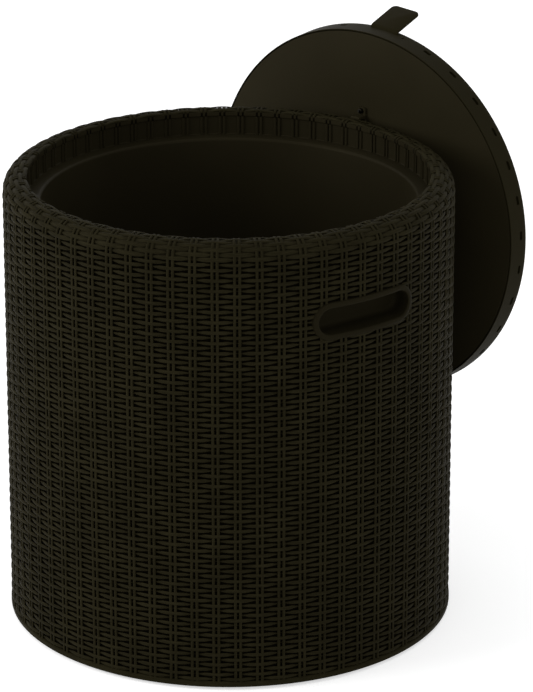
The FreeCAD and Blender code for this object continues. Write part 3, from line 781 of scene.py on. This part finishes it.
def laid_strand(mesh, row, centre_height, roll=0.0):
    """One strand laid on the wall at a height, or on the roll at an angle."""
    middle = cane.strand_front - cane.strand_depth / 2 - cane.shoulder_centre
    sway, broad = (cane.roll_sway, cane.roll_broad) if roll else (1.0, 1.0)
    part = bmesh.new()
    part.from_mesh(mesh)
    for vert in part.verts:
        radius = from_axis(vert.co)
        angle = bearing(vert.co)
        bay = math.floor((angle - cane.pair_phase) / TAU * cane.pairs + 0.5)
        out = middle + (radius - cane.shoulder_centre - middle) * sway
        out += 0.00008 * unevenness(row, bay, 3)
        rise = vert.co.z * broad * (1.0 + 0.06 * unevenness(row, bay, 1))
        rise += 0.00012 * unevenness(row, bay, 2)
        vert.co = polar(cane.shoulder_centre + out * math.cos(roll) - rise * math.sin(roll), angle,
                        centre_height + out * math.sin(roll) + rise * math.cos(roll))
    return part


def part_strand(bm, above_slot):
    """Ends a strand on both sides of each hand cup."""
    if abs(above_slot) >= cane.slot_clear:
        return
    reach = cane.slot_half + math.sqrt(cane.slot_clear ** 2 - above_slot ** 2)
    limit = math.asin(reach / cane.body_radius)
    step = TAU / cane.pairs / STRAND_STEPS

    def off(vert):
        """Angle to the nearest cup's middle and that middle's angle."""
        angle = bearing(vert.co)
        middle = 0.0 if abs(angle) < math.pi / 2 else math.copysign(math.pi, angle)
        return angle - middle, middle

    gone = [vert for vert in bm.verts if abs(off(vert)[0]) < limit]
    ends = [vert for vert in bm.verts if limit <= abs(off(vert)[0]) < limit + 1.01 * step]
    bmesh.ops.delete(bm, geom=gone, context="VERTS")
    for vert in ends:
        if any(edge.is_boundary for edge in vert.link_edges):
            away, middle = off(vert)
            vert.co = polar(from_axis(vert.co), middle + math.copysign(limit, away), vert.co.z)
    close_holes(bm)


def row_heights():
    """Heights of the wall's strands."""
    count = int((cane.shoulder_height - cane.band_top) / cane.row_pitch)
    return [cane.band_top + (i + 0.5) * cane.row_pitch for i in range(count)]


def build_strands():
    """Horizontal strands of the wall, in three lots."""
    meshes = [strand_mesh(0), strand_mesh(1)]
    heights = row_heights()
    lot_size = math.ceil(len(heights) / 3)
    for lot, name in enumerate(("lower", "middle", "upper")):
        bm = bmesh.new()
        for row in range(lot * lot_size, min((lot + 1) * lot_size, len(heights))):
            strand = laid_strand(meshes[row % 2], row, heights[row])
            part_strand(strand, heights[row] - cane.slot_height)
            add_part(bm, strand)
        add_piece(bm, "strands_" + name, "cane_rows", "drum", "outer_wall", 80.0)


def build_roll_strands():
    """Strands that go on over the shoulder, open where the hook sits."""
    first = len(row_heights())
    meshes = [strand_mesh(0), strand_mesh(1)]
    round_radius = cane.body_radius - cane.shoulder_centre
    bm = bmesh.new()
    for i in range(cane.roll_rows):
        add_part(bm, laid_strand(meshes[(first + i) % 2], first + i, cane.shoulder_height,
                                 (i + 0.45) * cane.row_pitch / round_radius))
    open_for_hook(bm)
    add_piece(bm, "strands_shoulder", "cane_rows", "drum", "rim_ring", 80.0)


def stake_mesh():
    """One upright stake at angle 0, from the lower band over the shoulder to the crest."""
    half_depth = cane.stake_depth / 2
    centre = cane.stake_front - half_depth
    bm = bmesh.new()
    bmesh.ops.create_circle(bm, segments=8, radius=1.0)
    placed(bm, moved(centre, 0, cane.band_top - 0.001)
           @ Matrix.Diagonal((half_depth, cane.stake_width / 2, 1.0, 1.0)) @ about_z(math.pi / 8))
    grown = bmesh.ops.extrude_edge_only(bm, edges=bm.edges[:])["geom"]
    top = verts_of(grown)
    edges = [edge for edge in edges_of(grown) if all(vert in top for vert in edge.verts)]
    for vert in top:
        vert.co.z = cane.shoulder_height
    end = bmesh.ops.spin(bm, geom=top + edges, cent=(cane.shoulder_centre, 0, cane.shoulder_height),
                         axis=(0, -1, 0), dvec=(0, 0, 0), angle=cane.roll_end, steps=9)["geom_last"]
    grown = bmesh.ops.extrude_edge_only(bm, edges=edges_of(end))["geom"]
    for vert in verts_of(grown):
        vert.co.z = rim.lip_low + 0.0002
    close_holes(bm)
    face_out(bm)
    return kept_mesh(bm, "stake")


def part_stake(bm, low, high):
    """Takes the run between two heights out of a stake."""
    for level in (low, high):
        bmesh.ops.bisect_plane(bm, geom=bm.faces[:] + bm.edges[:] + bm.verts[:], dist=0.000001,
                               plane_co=(0, 0, level), plane_no=UP)
    middle = [face for face in bm.faces if low < face.calc_center_median().z < high]
    bmesh.ops.delete(bm, geom=middle, context="FACES")
    close_holes(bm)


def build_stakes():
    """All stakes, parted at the hand cups and the hook's pocket."""
    mesh = stake_mesh()
    bm = bmesh.new()
    for angle in stake_angles():
        stake = copy_at(mesh, about_z(angle))
        y = abs(cane.stake_front * math.sin(angle))
        beyond = max(y - cane.slot_half, 0.0)
        if beyond < cane.slot_clear:
            gap = math.sqrt(cane.slot_clear ** 2 - beyond ** 2)
            part_stake(stake, cane.slot_height - gap, cane.slot_height + gap)
        add_part(bm, stake)
    open_for_hook(bm)
    add_piece(bm, "stakes", "cane_stakes", "drum", "outer_wall", 80.0)


# Rim, tub and base

def build_rim():
    """Rolled shell under the cane, its plain crest and lip, and the hook's framed pocket."""
    middle = (cane.shoulder_centre, cane.shoulder_height)
    end = math.degrees(cane.roll_end)
    mouth, low = rim.mouth_radius, rim.lip_low
    section = [(rim.skirt_outer, cane.shoulder_height)]
    section += arc_points(middle, cane.backing_radius - cane.shoulder_centre, 0, 33, 5)
    section += arc_points(middle, rim.under_roll, 43, end - 2, 10)
    section += [(mouth + 0.0001, low + 0.0045), (mouth, low + 0.0036), (mouth, low + 0.0006),
                (mouth + 0.0006, low), (mouth + 0.003, low)]
    section += arc_points(middle, rim.under_roll - 0.0022, end - 12, 47, 6)
    section += [(rim.skirt_inner, rim.ledge), (rim.skirt_outer, rim.ledge)]
    place = hanger_place()
    walls = box_tool(place, (-NOTCH_HALF, NOTCH_NEAR, rim.pocket_floor - POCKET_WALL),
                     (NOTCH_HALF, POCKET_FAR + POCKET_WALL, rim.seat - POCKET_WALL))
    pocket = box_tool(place, (-POCKET_HALF, POCKET_NEAR, rim.pocket_floor),
                      (POCKET_HALF, POCKET_FAR, ABOVE_RIM))
    notch = box_tool(place, (-NOTCH_HALF, NOTCH_NEAR, rim.seat),
                     (NOTCH_HALF, OUTSIDE_RIM, ABOVE_RIM))
    bm = carved(turned(section, 4 * cane.pairs), [pocket, notch], joins=[walls])
    merge_and_face_out(bm)
    add_piece(bm, "rim_roll", "smooth_plastic", "drum", "rim_ring")


def build_tub():
    """Smooth tub with its ledge, collar and collar ribs."""
    slope = (tub.mouth - tub.floor_radius) / (rim.ledge - tub.floor)
    centre = (tub.floor_radius + slope * tub.corner - tub.corner, tub.floor + tub.corner)
    flange_low = rim.ledge - tub.gauge
    inner = [(0.0, tub.floor)] + arc_points(centre, tub.corner, -90, 0, 8)
    inner += [(tub.floor_radius + slope * (height - tub.floor), height)
              for height in (0.14, 0.23, 0.32)]
    inner += arc_points((tub.mouth + 0.003, rim.ledge - 0.003), 0.003, 180, 90, 4)
    inner += [(rim.collar_radius - 0.0006, rim.ledge), (rim.collar_radius, rim.ledge + 0.0006),
              (rim.collar_radius, rim.lip_low)]
    outer = [(rim.collar_outer, rim.lip_low), (rim.collar_outer, rim.ledge),
             (rim.skirt_outer, rim.ledge), (rim.skirt_outer, flange_low),
             (tub.mouth + tub.gauge, flange_low)]
    outer += arc_points(centre, tub.corner + tub.gauge, 0, -90, 6) + [(0.0, tub.floor - tub.gauge)]
    bm = carved(turned(inner + outer, 192, closed=False),
                [round_tool(0, tub.drain, 0.0138, 0.02, 0.07)])
    depth = rim.collar_radius - rim.mouth_radius + 0.0006
    height = rim.lip_low - rim.ledge - 0.0002
    bar = box_at(moved(rim.mouth_radius + depth / 2, 0, rim.ledge + height / 2 + 0.0001),
                 (depth, cane.stake_width, height))
    inner_edges = [edge for edge in bar.edges
                   if all(vert.co.x < rim.mouth_radius + 0.0001 for vert in edge.verts)
                   and run_along(edge, Z) > height / 2]
    rounded(bar, inner_edges, 0.0009, 3)
    rib = kept_mesh(bar, "rib")
    for angle in stake_angles():
        add_part(bm, copy_at(rib, about_z(angle)))
    add_piece(bm, "ice_tub", "tub_plastic", "drum", "inner_tub")


def stadium_shell(half_run, stations, segments=48, cuts=16):
    """Lofts round-ended loops across X.

    Each station is an end radius and where its loop lies: on a plane, or on a round about Z.
    """
    bm = bmesh.new()
    bmesh.ops.create_circle(bm, segments=segments, radius=1.0,
                            matrix=about_z(math.pi / segments))
    for vert in bm.verts:
        vert.co = Vector((0, math.copysign(half_run, vert.co.x) + vert.co.x, vert.co.y))
    runs = [edge for edge in bm.edges if edge.verts[0].co.y * edge.verts[1].co.y < 0]
    bmesh.ops.subdivide_edges(bm, edges=runs, cuts=cuts)
    verts = bm.verts[:]
    loop = bm.edges[:]
    size = 1.0
    for number, (radius, kind, distance) in enumerate(stations):
        if number:
            grown = bmesh.ops.extrude_edge_only(bm, edges=loop)["geom"]
            verts = verts_of(grown)
            fresh = set(verts)
            loop = [edge for edge in edges_of(grown) if fresh.issuperset(edge.verts)]
        for vert in verts:
            run = max(-half_run, min(half_run, vert.co.y))
            y = run + (vert.co.y - run) * radius / size
            x = distance if kind == "plane" else math.sqrt(distance ** 2 - y ** 2)
            vert.co = (x, y, vert.co.z * radius / size)
        size = radius
    close_holes(bm)
    face_out(bm)
    return bm


def build_cups():
    """Hand cups with a rounded border that lies on the cane."""
    opening = 0.0125
    stations = [(opening + 0.0022, "plane", 0.1843), (opening + 0.0022, "round", 0.2065)]
    stations += [(radius, "round", distance) for radius, distance in (
        (0.0177, 0.2069), (0.0177, 0.2098), (0.0172, 0.2106), (0.0162, 0.2109), (0.0145, 0.2110),
        (0.0134, 0.2108), (0.0127, 0.2103), (opening, 0.2094))]
    stations += [(opening - less, "plane", distance) for less, distance in (
        (0.0, 0.1925), (0.0006, 0.1889), (0.0024, 0.1871), (0.005, 0.1866))]
    for name, angle in (("right", 0.0), ("left", math.pi)):
        bm = placed(stadium_shell(cane.slot_half, stations),
                    about_z(angle) @ moved(0, 0, cane.slot_height))
        add_piece(bm, "finger_cup_" + name, "cup_plastic", "drum",
                  "hand_cup_" + name, 50.0)


def build_feet():
    """Rubber pads with a rounded tread."""
    bm = bmesh.new()
    circle = tub.foot_circle
    places = [(polar(circle, math.radians(30 + 60 * i)), 0.011) for i in range(6)]
    for spot, radius in places + [(Vector((0, 0, 0)), 0.016)]:
        section = [(0.0, 0.0006), (radius - 0.004, 0.0006), (radius - 0.0035, 0.0)]
        section += arc_points((radius - 0.0015, 0.0015), 0.0015, -90, 0, 4)
        section += [(radius, 0.009), (0.0038, 0.009), (0.0038, 0.012), (0.0, 0.012)]
        add_part(bm, placed(turned(section, 48, closed=False), moved(*spot)))
    add_piece(bm, "rubber_feet", "rubber", "drum", "foot_pads")


def screw_bmesh(shank, head, head_low, top, head_height=0.0024):
    """Pan-head screw, head down, with a cross recess."""
    shoulder = head_low + head_height
    section = [(0.0, head_low), (head * 0.55, head_low), (head * 0.85, head_low + head_height * 0.2),
               (head, head_low + head_height * 0.6), (head, shoulder), (shank, shoulder),
               (shank, top - shank), (0.0, top)]
    reach = head * 0.5
    cross = [box_tool(about_z(angle), (-reach, -0.0004, head_low - 0.001),
                      (reach, 0.0004, head_low + head_height * 0.55)) for angle in (0.0, math.pi / 2)]
    return carved(turned(section, 24, closed=False), cross)


def build_base_screws():
    """Six screws, each turned to another angle."""
    mesh = kept_mesh(screw_bmesh(0.0016, 0.003, 0.0066, 0.017), "screw")
    bm = bmesh.new()
    for i in range(6):
        spot = polar(tub.screw_circle, math.radians(60 * i))
        add_part(bm, copy_at(mesh, moved(*spot) @ about_z(math.radians(17 + 31 * i))))
    add_piece(bm, "cover_screws", "steel", "drum", "base_screws")


def build_drain():
    """Drain socket in the tub's floor, its bung and the bung's seal."""
    at = moved(0, tub.drain, 0)
    socket = turned([(0.010, 0.0085), (0.0135, 0.0085), (0.0135, 0.0505), (0.022, 0.0505),
                     (0.022, 0.0517), (0.0213, 0.0524), (0.0108, 0.0525), (0.010, 0.0517)], 48)
    add_piece(placed(socket, at), "drain_tube", "tub_plastic", "drum",
              "drain_socket")

    section = [(0.0, 0.0325), (0.0085, 0.0325), (0.0092, 0.0332), (0.0097, 0.054), (0.0163, 0.054)]
    section += arc_points((0.0155, 0.0560), 0.0015, -60, 75, 5) + [(0.011, 0.0578), (0.0, 0.0578)]
    grip = bmesh.new()
    bmesh.ops.create_cone(grip, cap_ends=True, segments=48, radius1=0.010, radius2=0.010,
                          depth=0.0045, matrix=moved(0, 0, 0.0605)
                          @ Matrix.Rotation(math.pi / 2, 4, "X"))
    for vert in grip.verts:
        vert.co.z = max(vert.co.z, 0.0572)
    rims = [edge for edge in grip.edges if run_along(edge, Y) < 0.0001]
    bmesh.ops.remove_doubles(grip, verts=grip.verts, dist=0.000001)
    rounded(grip, [edge for edge in rims if edge.is_valid], 0.0008, 3)
    bung = carved(turned(section, 48, closed=False), [], joins=[grip])
    add_piece(placed(bung, at), "bung", "smooth_plastic", "bung", "drain_bung", 40.0)

    middle = 0.0130
    ring = turned(arc_points((middle, 0.05325), 0.0007, 0, 330, 11), 48)
    for vert in ring.verts:
        reach = from_axis(vert.co)
        wide = middle + (reach - middle) * 4.0
        vert.co = Vector((vert.co.x * wide / reach, vert.co.y * wide / reach, vert.co.z))
    add_piece(placed(ring, at), "bung_ring", "rubber", "bung", "bung_seal")


# Lid

def side_radius(height):
    """Lid's side at a height above its underside."""
    slope = (lid.radius - lid.under_radius) / lid.thickness
    return lid.under_radius + slope * height


def vent_middle():
    """Height of the vents above the underside."""
    return lid.thickness - lid.vent_drop


def from_vent(angle):
    """Angle from the nearest vent's middle."""
    bay = TAU / lid.vents
    return (angle - (math.pi / 2 - lid.vent_phase) + bay / 2) % bay - bay / 2


def lid_section():
    """Section of the shell from the underside's seat over the side to the sunken top."""
    top = lid.thickness
    half = lid.vent_height / 2
    middle = vent_middle()
    seat, wall = PANEL_RADIUS - 0.0009, PANEL_RADIUS + 0.0009
    section = [(seat, 0.0031), (wall, 0.0031), (wall, 0.0002), (wall + 0.0002, 0.0),
               (side_radius(0.0) - 0.0004, 0.0)]
    section += [(side_radius(height), height)
                for height in (0.0004, 0.004, middle - half, middle, middle + half)]
    section += arc_points((lid.radius - 0.002, top - 0.002), 0.002, 0, 90, 5)
    field = lid.radius - lid.border
    sunken = top - 0.0012
    section += [(field + 0.0006, top), (field, top - 0.0004), (field - 0.0008, sunken),
                (0.11, sunken), (0.05, sunken), (0.0, sunken)]
    return section + [(0.0, top - 0.004), (seat - 0.0006, top - 0.004)]


def line_up_with_vents(bm):
    """Moves the shell's columns to the ends, the rounds and the middles of the vents."""
    bay = TAU / lid.vents
    straight = lid.vent_length - lid.vent_height * 0.9
    marks = [-0.5, -0.33] + [-0.5 * run / lid.radius / bay for run in (lid.vent_length, straight)]
    marks += [0.0] + [-mark for mark in reversed(marks[1:])]
    for vert in bm.verts:
        reach = from_axis(vert.co)
        if reach < 0.001:
            continue
        turns = (bearing(vert.co) % TAU) / TAU * lid.vents
        number = math.floor(turns + 0.0001)
        column = round((turns - number) * VENT_COLUMNS) % VENT_COLUMNS
        angle = math.pi / 2 - lid.vent_phase + (number + marks[column]) * bay
        vert.co = polar(reach, angle, vert.co.z)


def sink_vents(bm):
    """Pocket with rounded corners for each vent, except behind the tab."""
    depth = 0.0022
    corner = 0.0005
    middle = vent_middle()
    half = lid.vent_height / 2
    vent_reach = lid.vent_length / 2 / lid.radius
    tab_reach = lid.tab_width / 2 / lid.radius + math.radians(2.7)
    vents = []
    for face in bm.faces:
        centre = face.calc_center_median()
        if from_axis(centre) < lid.under_radius - 0.001 or abs(centre.z - middle) > half:
            continue
        from_tab = (bearing(centre) - (math.pi / 2 - lid.tab_angle) + math.pi) % TAU - math.pi
        if abs(from_vent(bearing(centre))) < vent_reach and abs(from_tab) > tab_reach:
            vents.append(face)
    for vert in bm.verts:
        angle = bearing(vert.co)
        away = from_vent(angle)
        if (from_axis(vert.co) > side_radius(vert.co.z) - 0.0002
                and abs(abs(away) - vent_reach) < 0.0005
                and abs(abs(vert.co.z - middle) - half) < 0.0001):
            vert.co = polar(from_axis(vert.co), angle - math.copysign(corner / lid.radius, away),
                            middle + (vert.co.z - middle) * 0.7)
    for vert in verts_of(bmesh.ops.extrude_face_region(bm, geom=vents)["geom"]):
        inward = 1.0 - depth / from_axis(vert.co)
        vert.co = Vector((vert.co.x * inward, vert.co.y * inward, vert.co.z))
    bmesh.ops.delete(bm, geom=[face for face in vents if face.is_valid], context="FACES_ONLY")
    face_out(bm)


def add_lid_piece(bm, name, finish, stands_for, sharp=30.0):
    """Piece made in the lid's own frame and hung with it."""
    add_piece(placed(bm, hang_matrix()), name, finish, "lid", stands_for, sharp)


def build_lid_shell():
    """Lid's side, plain border and sunken top, with its vents and the tab's slit."""
    bm = turned(lid_section(), VENT_COLUMNS * lid.vents)
    line_up_with_vents(bm)
    sink_vents(bm)
    half = lid.tab_width / 2 + 0.0003
    bm = carved(bm, [box_tool(about_z(-lid.tab_angle), (-half, 0.165, 0.0161),
                              (half, 0.19, 0.0192))])
    merge_and_face_out(bm)
    add_lid_piece(bm, "lid_dish", "woven_top", "lid_shell")


def build_lid_panel():
    """Smooth underside, let into the side wall with a thin seam."""
    outer = PANEL_RADIUS
    section = [(0.0, 0.0), (0.06, 0.0), (0.12, 0.0), (outer - 0.0005, 0.0), (outer - 0.0001, 0.0002),
               (outer, 0.0006), (outer, 0.0028), (0.0, 0.0028)]
    bore = 0.0018
    spots = (HOOK_SCREW, HOOK_PEG)
    bm = carved(turned(section, 240, closed=False),
                [round_tool(0, y, bore, -0.01, 0.01, 24) for y in spots])
    for y in spots:
        boss = turned([(bore, 0.0027), (0.0045, 0.0027), (0.0045, 0.0138), (bore, 0.0138)], 24)
        add_part(bm, placed(boss, moved(0, y, 0)))
    add_lid_piece(bm, "lid_panel", "smooth_plastic", "lid_underside")


def side_prism(outline, width):
    """Closed prism across X from an outline in the YZ plane."""
    bm = bmesh.new()
    face = bm.faces.new([bm.verts.new((-width / 2, y, z)) for y, z in outline])
    grown = bmesh.ops.extrude_face_region(bm, geom=[face])["geom"]
    bmesh.ops.translate(bm, verts=verts_of(grown), vec=(width, 0, 0))
    face_out(bm)
    return bm


def build_tab():
    """Lift tab: a strip bent up and outward from the lid's edge, with round corners."""
    gauge = 0.0025
    root_top = 0.0189
    bend = lid.radius + 0.001
    tip = (lid.radius + lid.tab_reach, lid.thickness + lid.tab_rise)
    slope = math.atan2(tip[1] - (root_top - gauge), tip[0] - bend)
    root = lid.radius - 0.016
    centre = (bend - 0.0026, root_top + 0.0022)
    swing = (-90, math.degrees(slope) - 90, 6)
    outer = [(root, root_top - gauge)] + arc_points(centre, 0.0047, *swing) + [tip]
    inner = [(root, root_top)] + arc_points(centre, 0.0022, *swing)
    inner.append((tip[0] - gauge * math.sin(slope), tip[1] + gauge * math.cos(slope)))
    bm = side_prism(outer + inner[::-1], lid.tab_width)
    ends = [edge for edge in bm.edges if edge.calc_length() < gauge * 1.2
            and min(v.co.z for v in edge.verts) > lid.thickness + lid.tab_rise - 0.001
            and run_along(edge, X) < 0.0001]
    rounded(bm, ends, 0.005, 6)
    rim_edges = [edge for edge in bm.edges if edge.calc_face_angle(0.0) > math.radians(60)]
    rounded(bm, rim_edges, 0.0005, 2)
    placed(bm, about_z(-lid.tab_angle))
    add_lid_piece(bm, "lift_tab", "tab_plastic", "pull_tab", 40.0)


def build_hook():
    """Hanger hook: plate on the underside, arm over the rim and lip in the pocket, and its screw."""
    arm_top = 0.0983
    arm_low = arm_top - 0.003
    reach = 0.0123
    lip_low = arm_low - 0.0085
    outline = [(arm_low, 0.0), (arm_top, 0.0), (arm_top, 0.001 - reach), (arm_top - 0.001, -reach),
               (lip_low, -reach), (lip_low, 0.0025 - reach), (arm_low, 0.0025 - reach)]
    plate = box_at(moved(0, 0.097, -0.0012), (HOOK_WIDTH, 0.018, 0.0024))
    corners = [edge for edge in plate.edges if run_along(edge, Z) > 0.001
               and edge.verts[0].co.y > 0.1]
    rounded(plate, corners, 0.002, 4)
    bm = carved(plate, [round_tool(0, HOOK_SCREW, 0.0016, -0.01, 0.01, 24)],
                joins=[side_prism(outline, HOOK_WIDTH)])
    sharp = [edge for edge in bm.edges if len(edge.link_faces) == 2 and edge.is_convex
             and edge.calc_face_angle(0.0) > math.radians(50) and edge.calc_length() > 0.0012]
    rounded(bm, sharp, 0.0003, 2)
    add_lid_piece(bm, "hanging_hook", "smooth_plastic", "hanger_hook")
    screw = placed(screw_bmesh(0.0015, 0.0027, -0.0048, 0.011), moved(0, HOOK_SCREW, 0))
    add_lid_piece(screw, "hook_fixing", "dark_steel", "hook_screw", 35.0)


def dress_hidden_nodes():
    """Finishes of the nodes whose own shape stays."""
    for node, finish in (("wall_insulation", "foam"), ("cup_insulation", "foam"),
                         ("collar_insulation", "foam"), ("base_insulation", "foam"),
                         ("lid_core", "foam"), ("base_cover", "tub_plastic"),
                         ("drain_nut", "tub_plastic"), ("drain_gasket", "rubber")):
        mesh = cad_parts[node].data
        mesh.materials.clear()
        mesh.materials.append(finish_named(finish))


# Stage

def aimed(item, spot, target):
    """Puts a lamp or the camera at a spot and turns it towards a target."""
    item.location = spot
    item.rotation_euler = (Vector(target) - Vector(spot)).to_track_quat("-Z", "Y").to_euler()


def add_lamp(name, spot, size, power):
    data = bpy.data.lights.new(name, "AREA")
    data.shape = "DISK"
    data.size = size
    data.energy = power
    aimed(shown(name, data), spot, (0, 0, 0.25))


def floor_finish():
    """Pale and matt, and seen as brighter than it lights the drum."""
    finish = Finish(bpy.data.materials.new("pale_floor"))
    mottle = finish.noise(finish.point(), 3.0, 3.0)
    base = finish.mixed(mottle, toned(studio.floor, 0.99), studio.floor)
    matt = finish.node("BsdfDiffuse", {"Color": base})[0]
    strength = finish.seen_directly() * studio.floor_glow
    glow = finish.node("Emission", {"Strength": strength})[0]
    both = finish.node("AddShader", {0: matt, 1: glow})[0]
    finish.node("OutputMaterial", {"Surface": both})
    return finish.owner


def build_stage():
    """Pale floor that shows white, soft lamps, an even sky and the camera."""
    scene = bpy.context.scene
    bm = bmesh.new()
    bmesh.ops.create_grid(bm, x_segments=4, y_segments=4, size=14.0)
    floor = shown("floor", kept_mesh(bm, "floor"))
    floor.data.materials.append(floor_finish())

    scene.world = bpy.data.worlds.new("sky")
    sky = Finish(scene.world)
    strength = sky.seen_directly() * (1.0 - studio.sky) + studio.sky
    light = sky.node("Background", {"Color": (1, 1, 1, 1), "Strength": strength})[0]
    sky.node("OutputWorld", {"Surface": light})

    add_lamp("key_lamp", (-0.95, -2.35, 1.35), 1.7, studio.key)
    add_lamp("fill_lamp", (2.5, -0.1, 1.1), 1.6, studio.fill)
    add_lamp("back_lamp", (-1.7, 1.2, 1.9), 1.4, studio.back)

    lens = bpy.data.cameras.new("camera")
    lens.lens = studio.lens
    lens.sensor_width = 36.0
    lens.clip_end = 60.0
    scene.camera = shown("camera", lens)
    aimed(scene.camera, studio.camera, studio.target)
    scene.view_settings.view_transform = "Standard"


# Operators and panel

class COOLER_OT_stage(Operator):
    """Set up the floor, lamps, sky and camera"""
    bl_idname = "cooler.stage"
    bl_label = "Stage"

    def execute(self, context):
        build_stage()
        return {"FINISHED"}


class COOLER_OT_backing(Operator):
    """Build the closed wall behind the cane"""
    bl_idname = "cooler.backing"
    bl_label = "Wall backing"

    def execute(self, context):
        build_backing()
        return {"FINISHED"}


class COOLER_OT_strands(Operator):
    """Weave the horizontal strands of the wall and shoulder"""
    bl_idname = "cooler.strands"
    bl_label = "Strands"

    def execute(self, context):
        build_strands()
        build_roll_strands()
        return {"FINISHED"}


class COOLER_OT_stakes(Operator):
    """Set the upright stakes"""
    bl_idname = "cooler.stakes"
    bl_label = "Stakes"

    def execute(self, context):
        build_stakes()
        return {"FINISHED"}


class COOLER_OT_rim(Operator):
    """Build the rolled rim with the hook's pocket"""
    bl_idname = "cooler.rim"
    bl_label = "Rim"

    def execute(self, context):
        build_rim()
        return {"FINISHED"}


class COOLER_OT_tub(Operator):
    """Build the tub with its ledge and ribbed collar"""
    bl_idname = "cooler.tub"
    bl_label = "Tub"

    def execute(self, context):
        build_tub()
        return {"FINISHED"}


class COOLER_OT_cups(Operator):
    """Build both hand cups"""
    bl_idname = "cooler.cups"
    bl_label = "Hand cups"

    def execute(self, context):
        build_cups()
        return {"FINISHED"}


class COOLER_OT_drain(Operator):
    """Build the drain socket, its bung and seal"""
    bl_idname = "cooler.drain"
    bl_label = "Drain"

    def execute(self, context):
        build_drain()
        return {"FINISHED"}


class COOLER_OT_base(Operator):
    """Build the feet and base screws and finish the hidden nodes"""
    bl_idname = "cooler.base"
    bl_label = "Base"

    def execute(self, context):
        build_feet()
        build_base_screws()
        dress_hidden_nodes()
        return {"FINISHED"}


class COOLER_OT_lid(Operator):
    """Build the lid's shell and underside"""
    bl_idname = "cooler.lid"
    bl_label = "Lid"

    def execute(self, context):
        build_lid_shell()
        build_lid_panel()
        return {"FINISHED"}


class COOLER_OT_tab_and_hook(Operator):
    """Build the lift tab and the hanger hook"""
    bl_idname = "cooler.tab_and_hook"
    bl_label = "Tab and hook"

    def execute(self, context):
        build_tab()
        build_hook()
        return {"FINISHED"}


OPERATORS = (COOLER_OT_stage, COOLER_OT_backing, COOLER_OT_strands, COOLER_OT_stakes,
             COOLER_OT_rim, COOLER_OT_tub, COOLER_OT_cups, COOLER_OT_drain, COOLER_OT_base,
             COOLER_OT_lid, COOLER_OT_tab_and_hook)


class COOLER_PT_panel(Panel):
    """Steps and sizes of the cooler drum"""
    bl_idname = "COOLER_PT_panel"
    bl_label = "Cane cooler drum"
    bl_space_type = "VIEW_3D"
    bl_region_type = "UI"
    bl_category = "Cooler"

    def draw(self, context):
        column = self.layout.column()
        for step in OPERATORS:
            column.operator(step.bl_idname)
        for name, group in GROUPS.items():
            box = self.layout.box()
            box.label(text=group.__doc__)
            for field in group.__annotations__:
                box.prop(getattr(context.scene, name), field)


def register():
    for group in GROUPS.values():
        bpy.utils.register_class(group)
    for name, group in GROUPS.items():
        setattr(bpy.types.Scene, name, PointerProperty(type=group))
    for cls in OPERATORS + (COOLER_PT_panel,):
        bpy.utils.register_class(cls)


def unregister():
    for cls in reversed(OPERATORS + (COOLER_PT_panel,)):
        bpy.utils.unregister_class(cls)
    for name in GROUPS:
        delattr(bpy.types.Scene, name)
    for group in reversed(list(GROUPS.values())):
        bpy.utils.unregister_class(group)


def main():
    register()
    for step in OPERATORS:
        getattr(bpy.ops.cooler, step.bl_idname.split(".")[1])()


if __name__ == "__main__":
    main()
